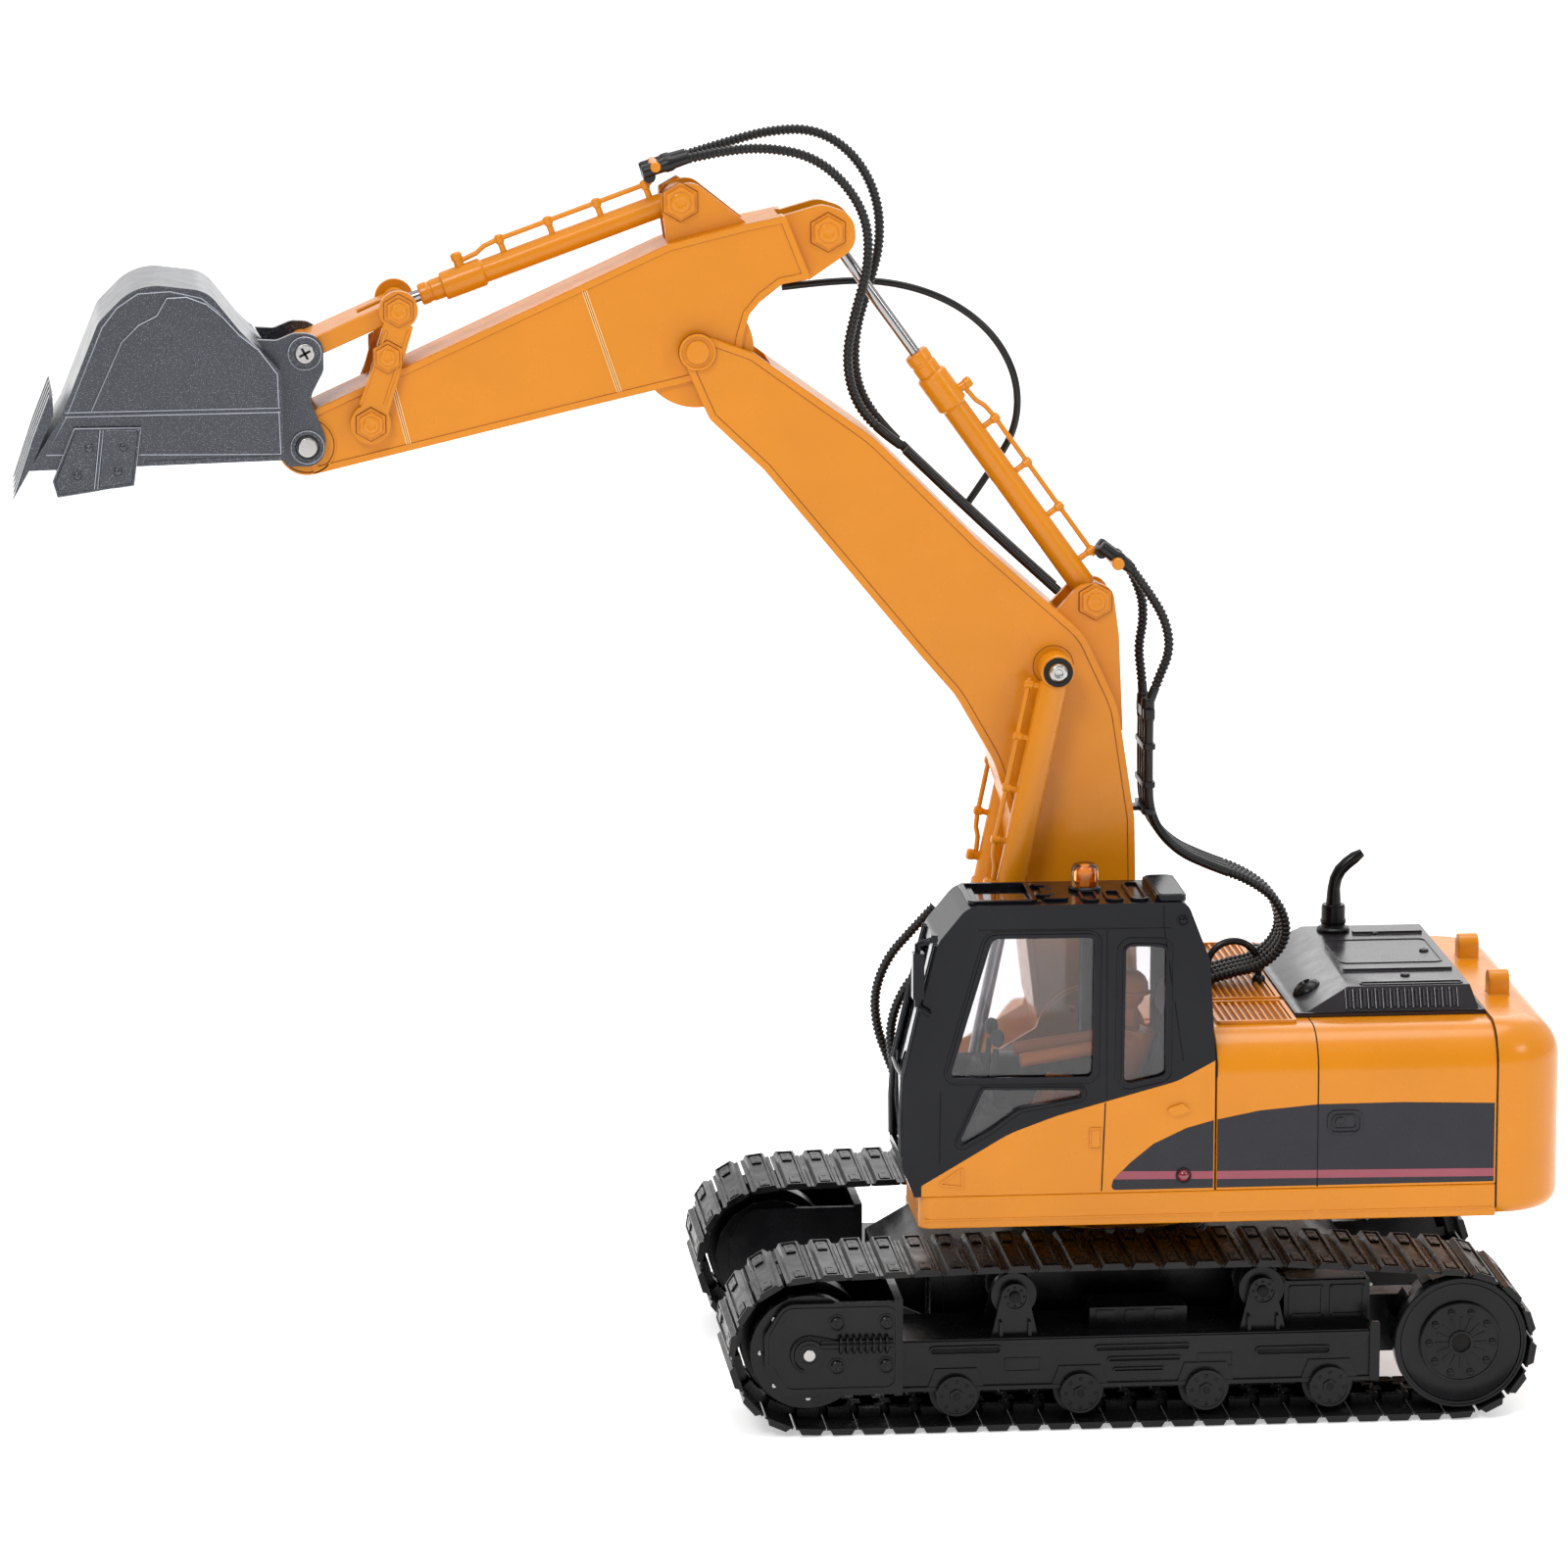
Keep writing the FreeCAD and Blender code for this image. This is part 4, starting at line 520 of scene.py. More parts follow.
def build_track(side):
    frames = []

    def hollow_shoes(bm):
        bmesh.ops.dissolve_limit(bm, angle_limit=math.radians(0.6), verts=bm.verts, edges=bm.edges)
        shoes = shoe_faces(bm)
        for face in shoes:
            n = face.normal.copy()
            frames.append(Matrix((n.cross(Vector((0, 1, 0))), Vector((0, 1, 0)), n)).transposed().to_4x4())
            frames[-1].translation = face.calc_center_bounds() / MM
        bmesh.ops.inset_individual(bm, faces=shoes, thickness=0.8 * MM, depth=0)
        bmesh.ops.inset_individual(bm, faces=shoes, thickness=0.25 * MM, depth=-0.6 * MM)

    moulded(side + "_track", "track_plastic", 0.12, hollow_shoes)
    pads = bmesh.new()

    def pad_pair(bm):
        block(bm, -4.6, 4.6, -20.6, 20.6, -2.1, -1.3)
        for y in (-14.5, 14.5):
            block(bm, -1.5, 1.5, y - 4.2, y + 4.2, -0.7, -0.1, 0.5)
            for bolt in (y - 2.6, y + 2.6):
                turned(bm, [(0.75, -0.15), (0.75, -0.03), (0.3, 0.0)], (0, bolt), "z", 10)

    for matrix in frames:
        placed(pads, matrix, pad_pair)
    piece(side + "_track_pads", pads, "track_plastic", "chassis", 0, 40)


FRAME_SLOTS = ((-64.5, -42.5, 22.6, 25.4), (-14.0, 15.4, 22.4, 24.6), (-10.1, 12.6, 19.0, 20.8),
               (-8.3, 7.4, 15.9, 17.4),
               (35.3, 58.5, 20.0, 22.8))


def build_track_frame(side, s):
    name = side + "_track_frame"
    moulded(name, "black_plastic", 0.25)
    bm = bmesh.new()
    out = s * 72.0
    for x in BOTTOM_X:
        cap = (x, BOTTOM_Z)
        border(bm, circle(cap, 6.2, 32), 0.7, s * 74.4, s * 74.9)
        bolt_circle(bm, cap, 4.4, 8, 0.62, s * 74.4, s * 0.4)
        prism(bm, hexagon(cap, 2.3), s * 74.4, s * 75.2)
        prism(bm, [(x - 8.6, 12.5), (x + 8.6, 12.5), (x + 6.4, 18.4), (x - 6.4, 18.4)], out, s * 72.7)
    for x in TOP_X:
        hub = (x, TOP_Z)
        border(bm, circle(hub, 4.2, 28), 0.6, s * 68.4, s * 69.1)
        bolt_circle(bm, hub, 2.8, 8, 0.42, s * 68.4, s * 0.4)
        for foot in (x - 4.4, x + 4.4):
            prism(bm, [(foot - 0.5, 27.4), (foot + 0.5, 27.4), (foot + 0.4, 32), (foot - 0.4, 32)], s * 68.4,
                  s * 70.6)
    yoke = [(-74.2, 13.2), (-74.2, 39.4), (-108.6, 39.4), (-113.6, 31), (-113.6, 21), (-108.6, 13.2)]
    border(bm, rounded([(*p, 4.0) for p in yoke], 6), 1.1, s * 75.9, s * 76.5)
    border(bm, circle(IDLER, 3.4, 40), 0.9, s * 75.9, s * 77.4)
    hook = [Vector((-90.3, s * 76.4, 28.0)), Vector((-96.8, s * 76.4, 29.4))]
    hook += [Vector((p.x, s * 76.4, p.y)) for p in arc(IDLER, 5.2, 75, 250, 12)]
    swept(bm, hook, 0.75, 10)
    for x, z in ((-93, 34.5), (-78, 34.5), (-93, 21.0), (-78, 21.0)):
        turned(bm, [(1.9, s * 76.0), (1.9, s * 76.7), (1.5, s * 77.0), (0.8, s * 77.0), (0.6, s * 76.8),
                    (0, s * 76.8)],
               (x, z), "y", 20)
        border(bm, circle((x, z), 2.7, 24), 0.4, s * 75.9, s * 76.3)
    for x0, x1, z0, z1 in FRAME_SLOTS:
        border(bm, rectangle(x0, x1, z0, z1, (z1 - z0) * 0.48), 0.5, out, s * 72.8)
    for x0, x1 in ((-41.5, -30.5), (17.6, 28.4)):
        border(bm, rectangle(x0, x1, 16.8, 21.2, 0.3), 0.4, out, s * 72.4)
    line_bar(bm, [(-73, 12.2), (71.5, 12.2)], 1.2, out, s * 73.0)
    line_bar(bm, [(-73, 26.4), (71.5, 26.4)], 1.0, out, s * 72.7)
    prism(bm, rectangle(70.4, 73.4, 11.6, 30.0, 0.5), out, s * 73.4)
    for x0, x1 in ((47.0, 57.8), (59.6, 70.6)):
        border(bm, rectangle(x0, x1, 29.2, 39.0, 0.8), 0.9, s * 62.0, s * 62.7)
    block(bm, 46.6, 71.0, min(s * 61, s * 42), max(s * 61, s * 42), 40.3, 40.9, 1.0)
    for k in range(3):
        prism(bm, rectangle(-12 + 9 * k, -6 + 9 * k, 28.4, 32.2, 0.5), s * 60.0, s * 60.6)
    piece(side + "_frame_details", bm, "black_plastic", "chassis", 0.12, 35)
    # Matte near-black fills in the frame slots and the centres of the roller caps: painted shade standing in
    # for the hollows.
    dark = bmesh.new()
    for x0, x1, z0, z1 in FRAME_SLOTS:
        prism(dark, rectangle(x0 + 0.4, x1 - 0.4, z0 + 0.4, z1 - 0.4, (z1 - z0) * 0.28), out, s * 72.08)
    for x in BOTTOM_X:
        turned(dark, [(1.3, s * 75.1), (1.3, s * 75.26), (1.1, s * 75.3)], (x, BOTTOM_Z), "y", 16)
    for x in TOP_X:
        turned(dark, [(1.7, s * 69.0), (1.7, s * 69.5), (1.2, s * 69.8), (0.6, s * 69.8)], (x, TOP_Z), "y",
               18)
    piece(side + "_frame_slots", dark, "black_plastic", "chassis", 0, 35, finish=DARK_GAP)


def build_wheels(side, s):
    for wheel in WHEELS:
        moulded(side + "_" + wheel, "black_plastic", 0.2)
    bm = bmesh.new()
    for k in range(16):
        spin = Matrix.Translation((DRIVE[0], 0, DRIVE[1])) @ Matrix.Rotation(2 * math.pi * k / 16, 4, "Y")
        placed(bm, spin, lambda m: prism(m, [(3.7, -0.3), (8.0, -0.42), (8.0, 0.42), (3.7, 0.3)], s * 75.4,
                                         s * 75.8))
    border(bm, circle(DRIVE, 12.4, 48), 0.8, s * 75.4, s * 76.0)
    border(bm, circle(DRIVE, 3.8, 36), 0.9, s * 75.4, s * 76.2)
    border(bm, circle(DRIVE, 20.2, 56), 0.8, s * 75.4, s * 76.0)
    turned(bm, [(18.6, s * 74.1), (18.4, s * 75.2), (16.4, s * 74.5), (12.6, s * 74.1)], DRIVE, "y", 48)
    bolt_circle(bm, DRIVE, 9.8, 10, 1.15, s * 75.9, s * 0.6)
    piece(side + "_drive_wheel_ribs", bm, "black_plastic", side + "_drive_wheel", 0.1, 35)
    # Matte near-black disc in the drive hub: painted shade standing in for the hole.
    hole = bmesh.new()
    turned(hole, [(2.9, s * 75.4), (2.9, s * 75.56), (2.5, s * 75.6)], DRIVE, "y", 28)
    piece(side + "_drive_hub_hole", hole, "black_plastic", side + "_drive_wheel", 0, 35, finish=DARK_GAP)
    bm = bmesh.new()
    bolt_circle(bm, IDLER, 14.6, 8, 0.9, s * 73.1, s * 0.5)
    piece(side + "_idler_wheel_bolts", bm, "steel", side + "_idler_wheel", 0, 35)


def build_undercarriage():
    for side, s in (("left", -1), ("right", 1)):
        build_track(side)
        build_track_frame(side, s)
        build_wheels(side, s)
    moulded("car_body", "black_plastic", 0.4)
    moulded("battery_cover", "black_plastic", 0.3)
    moulded("power_switch", "black_plastic", 0.2)
    moulded("top_rollers", "black_plastic", 0.2)
    moulded("axles_and_screws", "steel", 0.15)
    bm = bmesh.new()
    for s in SIDES:
        border(bm, rectangle(-56, -6, 20, 42, 2.0), 1.2, s * 34.0, s * 34.6)
        border(bm, rectangle(6, 56, 20, 42, 2.0), 1.2, s * 34.0, s * 34.6)
    for x in (-1, 1):
        bolt_circle(bm, (x * 57, 0), 0.01, 1, 2.0, 17.0, -0.8, "z")   # clear of the switch's travel
        for y in (-28, 28):
            bolt_circle(bm, (x * 54, y), 0.01, 1, 1.8, 17.0, -0.8, "z")
    for k in range(7):
        block(bm, -30 + 9 * k, -26 + 9 * k, -15, 15, 15.5, 16.1, 0.8)
    piece("car_body_details", bm, "black_plastic", "chassis", 0.15, 35)


# ---- house --------------------------------------------------------------
SIDE_Y, TOP_Z_HOUSE, SHOULDER = 70.0, 119.8, 13.0
REAR_FACE = 130.85             # just inside the back of the counterweight
SIDE_LAMP = (13.0, 76.5)
BRACKET_PIN = (-8.5, 107.0)


def over_shoulder(x, inner_y, low, top=TOP_Z_HOUSE, r=SHOULDER):
    """Line up one side of the house at x, over its rounded shoulder and in to inner_y."""
    line = [Vector((x, -SIDE_Y, low))]
    for p in arc((SIDE_Y - r, top - r), r, 0, 90, 8):
        line.append(Vector((x, -p.x, p.y)))
    return line + [Vector((x, -inner_y, top))]


def house_side_line(grow):
    """Plan outline of the counterweight, from one side round the back to the other."""
    half, rear, r = SIDE_Y + grow, 131.0 + grow, 20.0
    near = [Vector((109.3, -half))] + arc((rear - r, -half + r), r, -90, 0, 10)
    return near + [Vector((p.x, -p.y)) for p in near[::-1]]


def build_decals():
    cab_part = [(-9.3, 72.4), (-8.4, 75.6), (-3.1, 80.9), (3.8, 86.5), (13.9, 91.2), (22.1, 93.4),
                (22.1, 72.4)]
    rear_part = [(23.2, 72.4), (23.2, 93.6), (36.3, 96.1), (54.2, 97.6), (80, 97.7), (108.2, 96.8),
                 (108.2, 72.4)]
    bm = bmesh.new()
    prism(bm, rounded([(*p, 1.2 if i == 0 else 0) for i, p in enumerate(cab_part)]), -SIDE_Y + 0.3,
          -SIDE_Y - 0.09)
    for s in SIDES:
        prism(bm, rear_part, s * (SIDE_Y - 0.3), s * (SIDE_Y + 0.09))
    piece("side_decals", bm, "orange_plastic", "house", 0, 30, finish=DECAL_BLACK)
    bm = bmesh.new()
    prism(bm, [(-8.2, 75.7), (-6.0, 78.2), (22.1, 77.6), (22.1, 75.2)], -SIDE_Y - 0.05, -SIDE_Y - 0.15)
    for s in SIDES:
        prism(bm, [(23.2, 75.1), (23.2, 77.6), (108.2, 76.5), (108.2, 74.0)], s * (SIDE_Y + 0.05),
              s * (SIDE_Y + 0.15))
    piece("side_stripes", bm, "orange_plastic", "house", 0, 30, finish=DECAL_RED)
    bm = bmesh.new()
    border(bm, circle(SIDE_LAMP, 2.4, 28), 0.5, -SIDE_Y, -SIDE_Y - 0.6)
    piece("side_lamp_ring", bm, "black_plastic", "house", 0.1, 35)
    bm = bmesh.new()
    dome(bm, SIDE_LAMP, 1.9, -SIDE_Y - 0.1, -1.6)
    turned(bm, [(1.9, -SIDE_Y - 0.4), (1.9, -SIDE_Y + 0.4), (0, -SIDE_Y + 0.4)], SIDE_LAMP)
    piece("side_lamp", bm, "chrome", "house", 0, 40, finish=RED_LENS)


def build_latch():
    bm = bmesh.new()
    for s in SIDES:
        border(bm, rectangle(56.9, 67.5, 88.3, 95.6, 2.4), 0.6, s * (SIDE_Y - 0.1), s * (SIDE_Y + 0.7))
        border(bm, rectangle(58.3, 66.1, 89.6, 94.3, 1.8), 0.5, s * (SIDE_Y - 0.1), s * (SIDE_Y + 0.6))
        turned(bm, [(1.6, s * SIDE_Y), (1.6, s * (SIDE_Y + 0.5)), (1.1, s * (SIDE_Y + 0.7)),
                    (0.7, s * (SIDE_Y + 0.4)),
                    (0, s * (SIDE_Y + 0.4))], (60.9, 92.0), "y", 24)
    piece("side_latches", bm, "black_plastic", "house", 0.08, 35, finish=DECAL_BLACK)


def build_seams():
    bm = bmesh.new()
    runs = [over_shoulder(54.0, 50.0, 72), over_shoulder(22.9, 30.0, 112)]
    runs.append(over_shoulder(109.0, 2.0, 64, 120.4, 12.6))
    for line in runs:
        swept(bm, line, 0.22, 6)
    mirror_y(bm)
    piece("house_seams", bm, "orange_plastic", "house", 0, 60, finish=DARK_GAP)
    bm = bmesh.new()
    for z, r in ((97.6, 0.3), (72.3, 0.35)):
        swept(bm, [Vector((p.x, p.y, z)) for p in house_side_line(-0.36)], r, 8)
    for x0, x1 in ((-66.0, 22.0), (24.0, 53.0), (55.0, 108.0)):
        for s in SIDES:
            if s < 0 or x0 > 0:
                line_bar(bm, [(x0, 64.2), (x1, 64.2)], 0.6, s * (SIDE_Y - 0.2), s * (SIDE_Y + 0.25))
    piece("house_ridges", bm, "orange_plastic", "house", 0.05, 60)
    # Thin darker lines on the back of the counterweight: painted shade standing in for its grooves.
    bm = bmesh.new()
    for outline in (rectangle(-44, 44, 78, 92, 3.0), rectangle(-30, 30, 101, 107, 2.0),
                    rectangle(-49, 49, 75, 110, 5.0)):
        swept(bm, [Vector((REAR_FACE, p.x, p.y)) for p in outline + outline[:1]], 0.14, 6)
    for k in range(4):
        for s in SIDES:
            swept(bm, [Vector((REAR_FACE, s * 4, 81.2 + 2.6 * k)),
                       Vector((REAR_FACE, s * 38, 81.2 + 2.6 * k))], 0.14, 6)
    piece("counterweight_lines", bm, "orange_plastic", "house", 0, 60, finish=PAINTED_SHADE_ORANGE)


def build_grille():
    bm = bmesh.new()
    for y0, y1 in ((-56.5, -28.0), (-25.0, 55.5)):
        border(bm, rectangle(25.0, 49.4, y0, y1, 1.0), 1.3, TOP_Z_HOUSE - 0.1, TOP_Z_HOUSE + 1.1, "z")
        for k in range(10):
            x = 27.4 + 2.14 * k
            prism(bm, [(x, TOP_Z_HOUSE - 0.1), (x + 1.1, TOP_Z_HOUSE - 0.1), (x + 1.0, TOP_Z_HOUSE + 0.8),
                       (x + 0.35, TOP_Z_HOUSE + 0.8)], y0 + 1.2, y1 - 1.2)
    piece("deck_grille", bm, "orange_plastic", "house", 0.1, 35)
    # Darker plate under the grille bars: painted shade in the recesses between them.
    bm = bmesh.new()
    for y0, y1 in ((-55.5, -29.0), (-24.0, 54.5)):
        block(bm, 26.0, 48.4, y0, y1, TOP_Z_HOUSE - 0.1, TOP_Z_HOUSE + 0.06, 0.5)
    piece("deck_grille_gaps", bm, "orange_plastic", "house", 0, 35, finish=PAINTED_SHADE_ORANGE)


HOOD_TOP = 128.0


def build_hood():
    moulded("engine_hood", "hood_grey", 0.5)
    bm = bmesh.new()
    border(bm, rectangle(71.0, 103.2, -42.6, -38.8, 1.8), 0.5, HOOD_TOP - 0.05, HOOD_TOP + 0.35, "z")
    for spot in ((87.1, -30.2), (88.0, 30.5), (99.0, 4.0)):
        turned(bm, [(1.5, HOOD_TOP - 0.1), (1.5, HOOD_TOP + 0.4), (1.1, HOOD_TOP + 0.8),
                    (0.5, HOOD_TOP + 0.8),
                    (0.4, HOOD_TOP + 0.5), (0, HOOD_TOP + 0.5)], spot, "z", 22)
    border(bm, rectangle(70.0, 102.5, -12.0, 22.0, 3.0), 0.6, HOOD_TOP - 0.05, HOOD_TOP + 0.3, "z")
    for s in SIDES:
        for k in range(16):
            x = 66.2 + 2.3 * k
            swept(bm, [Vector((x, s * 47.1, 121.6)), Vector((x, s * 44.1, 127.3))], 0.42, 8)
    piece("hood_details", bm, "hood_grey", "house", 0.08, 35)
    bm = bmesh.new()
    for s in SIDES:
        for k in range(15):
            x = 67.35 + 2.3 * k
            swept(bm, [Vector((x, s * 46.75, 122.0)), Vector((x, s * 44.35, 126.8))], 0.62, 8)
    piece("hood_louvres", bm, "hood_grey", "house", 0, 50, finish=DECAL_BLACK)
    bm = bmesh.new()
    slope = Matrix.Translation((57.6, -24.0, 122.9)) @ Matrix.Rotation(math.radians(-28), 4, "Y")
    placed(bm, slope, lambda m: turned(m, [(4.6, -0.4), (4.6, 0.5), (4.0, 1.3), (3.2, 2.0), (2.2, 2.4),
                                           (1.8, 1.5),
                                           (0, 1.5)], (0, 0), "z", 32))
    border(bm, rectangle(49.9, 108.7, -49.6, 49.6, 0.8), 0.9, TOP_Z_HOUSE + 1.0, TOP_Z_HOUSE + 1.5, "z")
    piece("hood_cap_and_rim", bm, "black_plastic", "house", 0.1, 35)
    x, y = 75.6, 35.5
    bm = bmesh.new()
    turned(bm, [(5.2, 128.0), (5.2, 129.0), (4.6, 129.6), (3.9, 129.8), (3.8, 130.6), (4.1, 131.0),
                (4.1, 131.8),
                (3.8, 132.2), (3.8, 136.0), (3.5, 136.8), (2.6, 136.8)], (x, y), "z", 36)
    pipe = [Vector((x, y, 136)), Vector((x + 0.1, y, 142)), Vector((x + 0.7, y, 145)),
            Vector((x + 2.0, y, 147.6)),
            Vector((x + 4.2, y, 149.8)), Vector((x + 6.6, y, 151.6)), Vector((x + 9.0, y, 153.2))]
    swept(bm, pipe, lambda i: (2.5, 2.05, 2.0, 2.0, 2.0, 1.95, 1.3)[i], 24)
    bolt_circle(bm, (x, y), 4.6, 6, 0.4, 129.3, 0.4, "z")
    piece("exhaust_pipe", bm, "black_plastic", "house", 0.1, 40, ["exhaust_stack"])
    bm = bmesh.new()
    loop = [Vector((p.x, 0, p.y)) for p in arc((38.35, 125.2), 8.1, 190, -10, 24)]
    swept(bm, [Vector((30.3, 0, 120.5))] + loop + [Vector((46.4, 0, 120.5))], 1.1, 14)
    for spot in (30.3, 46.4):
        turned(bm, [(2.1, 119.7), (2.1, 121.4), (1.5, 122.4)], (spot, 0), "z", 20)
    piece("deck_wire_loop", bm, "hose_rubber", "house", 0, 40)


def build_house():
    for node in ("house_deck", "house_shell", "counterweight"):
        moulded(node, "orange_plastic", 0.5)
    moulded("boom_bracket", "orange_plastic", 0.25)
    build_decals()
    build_latch()
    build_seams()
    build_grille()
    build_hood()
    bm = bmesh.new()
    for s in SIDES:
        border(bm, circle(BRACKET_PIN, 16.6, 48), 1.2, s * 17.2, s * 17.8)
        border(bm, circle(BRACKET_PIN, 6.2, 36), 1.4, s * 17.2, s * 18.0)
        bolt_circle(bm, BRACKET_PIN, 11.4, 6, 1.1, s * 17.2, s * 0.7)
    piece("bracket_details", bm, "orange_plastic", "house", 0.1, 35)
    bm = bmesh.new()
    border(bm, rectangle(-20, 19, 76, 97, 3.0), 1.0, SIDE_Y - 0.1, SIDE_Y + 0.5)
    for k in range(5):
        prism(bm, rectangle(-14, 13, 80 + 2.9 * k, 81.4 + 2.9 * k, 0.6), SIDE_Y - 0.1, SIDE_Y + 0.35)
    for k in range(8):
        block(bm, -19 + 4.9 * k, -16.5 + 4.9 * k, 34, 66, 100.9, 101.5, 0.8)
    piece("locker_details", bm, "orange_plastic", "house", 0.12, 35)


# ---- cab ----------------------------------------------------------------
ROOF = 161.0
DOOR_GLASS = [(-46.5, 151.2, 3.0), (-14.4, 151.0, 2.0), (-14.8, 107.6, 2.0), (-58.8, 108.0, 2.0)]
QUARTER = [(-5.2, 148.0, 2.0), (7.2, 147.6, 2.0), (7.2, 107.8, 2.0), (-5.6, 105.2, 2.0)]
LOW_GLASS = [(-48.3, 104.7, 1.5), (-18.2, 104.0, 1.0), (-18.0, 101.4, 1.0), (-37.2, 98.2, 4.0),
             (-46.0, 91.8, 3.0),
             (-56.6, 86.0, 1.0)]


def grown(points, by):
    """The outline made larger on every side."""
    return offset_loop(rounded(points), -by)


def build_cab_frame():
    moulded("cab_frame", "cab_black", 0.6)
    moulded("cab_lower_panel", "orange_plastic", 0.25)
    moulded("cab_glass", "clear_plastic", 0.1)
    bm = bmesh.new()
    for y in (-SIDE_Y, -36.0):
        s = -1 if y < -50 else 1
        border(bm, grown(DOOR_GLASS, 1.0), 1.3, y - s * 0.4, y + s * 0.45)
        border(bm, grown(QUARTER, 2.6), 0.7, y - s * 0.3, y + s * 0.35)
        border(bm, grown(QUARTER, 0.8), 0.9, y - s * 0.4, y + s * 0.5)
    border(bm, grown(LOW_GLASS, 0.7), 0.8, -SIDE_Y + 0.3, -SIDE_Y - 0.45)
    for y in (-68.8, -65.4, -40.6, -37.2):
        swept(bm, [Vector((-72.6, y, 84)), Vector((-72.7, y, 96)), Vector((-72.0, y, 108)),
                   Vector((-69.0, y, 121)),
                   Vector((-65.6, y, 136)), Vector((-62.3, y, 149))], 0.8, 10)
    swept(bm, [Vector((-72.0, -66, 108)), Vector((-72.4, -53, 108)), Vector((-72.0, -40, 108))], 0.8, 10)
    swept(bm, [Vector((-72.6, -60, 92)), Vector((-72.9, -54, 100)), Vector((-71.6, -47, 112))], 0.45, 8)
    dome(bm, (12.1, 155.5), 1.3, -SIDE_Y + 0.2, -0.9)
    border(bm, circle((12.1, 155.5), 1.9, 24), 0.4, -SIDE_Y + 0.1, -SIDE_Y - 0.3)
    piece("cab_frames", bm, "cab_black", "house", 0.12, 35)
    bm = bmesh.new()
    side = -SIDE_Y
    swept(bm, [Vector((-10.9, side, 153.2)), Vector((-10.6, side, 100.6))], 0.2, 6)
    swept(bm, [Vector((-11.0, side, 99.6)), Vector((-12.0, side, 72.2))], 0.2, 6)
    swept(bm, [Vector((-50.0, side, 153.6)), Vector((8.4, side, 153.2))], 0.2, 6)
    swept(bm, [Vector((6.2, side, 160.0)), Vector((6.4, side, 153.4)), Vector((12.6, side, 112))], 0.2, 6)
    swept(bm, [Vector((-61.2, side, 104)), Vector((-61.4, side, 81.5))], 0.2, 6)
    for line in (DOOR_GLASS, LOW_GLASS):
        edge = grown(line, 1.9 if line is DOOR_GLASS else 1.3)
        swept(bm, [Vector((p.x, side, p.y)) for p in edge + edge[:1]], 0.14, 6)
    piece("cab_grooves", bm, "cab_black", "house", 0, 60, finish=DARK_GAP)
    bm = bmesh.new()
    border(bm, rectangle(-15.8, -11.9, 85.2, 91.9, 0.5), 0.5, -SIDE_Y + 0.2, -SIDE_Y - 0.5)
    prism(bm, rectangle(-15.2, -12.5, 85.8, 91.3, 0.4), -SIDE_Y + 0.2, -SIDE_Y - 0.3)
    border(bm, rounded([(-62.4, 75.0, 0.6), (-54.2, 80.8, 0.6), (-54.0, 74.0, 0.6)]), 0.6, -SIDE_Y + 0.2,
           -SIDE_Y - 0.35)
    prism(bm, rounded([(7.0, 97.2, 0.9), (12.4, 99.0, 0.9), (15.2, 96.6, 0.6), (10.0, 95.0, 0.6)]),
          -SIDE_Y + 0.3, -SIDE_Y - 1.0)
    piece("cab_panel_details", bm, "orange_plastic", "house", 0.08, 35)


def build_roof():
    bm = bmesh.new()
    border(bm, rectangle(-52.6, -31.4, -66.6, -39.4, 2.5), 1.6, ROOF - 0.2, ROOF + 0.9, "z")
    block(bm, -29.0, -21.8, -64.6, -41.5, ROOF - 0.1, ROOF + 0.9, 1.4)
    for y in (-60.0, -46.0):
        swept(bm, [Vector((-30.8, y - 1.6, ROOF + 0.9)), Vector((-30.8, y + 1.6, ROOF + 0.9))], 0.9, 12)
        block(bm, -31.0, -27.0, y - 1.2, y + 1.2, ROOF, ROOF + 1.3, 0.3)
    for k in range(3):
        border(bm, rectangle(-18.0 + 7.4 * k, -12.6 + 7.4 * k, -67.0, -53.6 if k < 2 else -42.0, 2.2), 0.9,
               ROOF - 0.1,
               ROOF + 0.8, "z")
    block(bm, 5.2, 12.6, -68.0, -39.0, ROOF + 1.4, ROOF + 2.2, 1.6)
    border(bm, rectangle(4.4, 13.4, -68.6, -38.4, 2.0), 0.8, ROOF - 0.1, ROOF + 2.0, "z")
    for spot in ((-26.3, -58.0), (-26.3, -50.0)):
        dome(bm, spot, 1.0, ROOF + 0.7, 0.6, "z", 16)
    piece("roof_details", bm, "cab_black", "house", 0.15, 35)
    bm = bmesh.new()
    turned(bm, [(5.0, ROOF - 0.1), (5.0, ROOF + 0.9), (4.4, ROOF + 1.4), (3.9, ROOF + 1.4)], (-15.0, -49.0),
           "z", 36)
    piece("beacon_base", bm, "black_plastic", "house", 0.1, 35)
    moulded("roof_beacon", "amber_plastic", 0.3, smooth=45)
    bm = bmesh.new()
    turned(bm, [(1.0, ROOF + 1.2), (1.0, ROOF + 3.4), (1.5, ROOF + 4.2), (1.6, ROOF + 5.4), (1.0, ROOF + 6.4),
                (0.2, ROOF + 6.7)], (-15.0, -49.0), "z", 20)
    piece("beacon_bulb", bm, "amber_plastic", "house", 0, 40, finish=BULB)


CAB_MID = -53.0


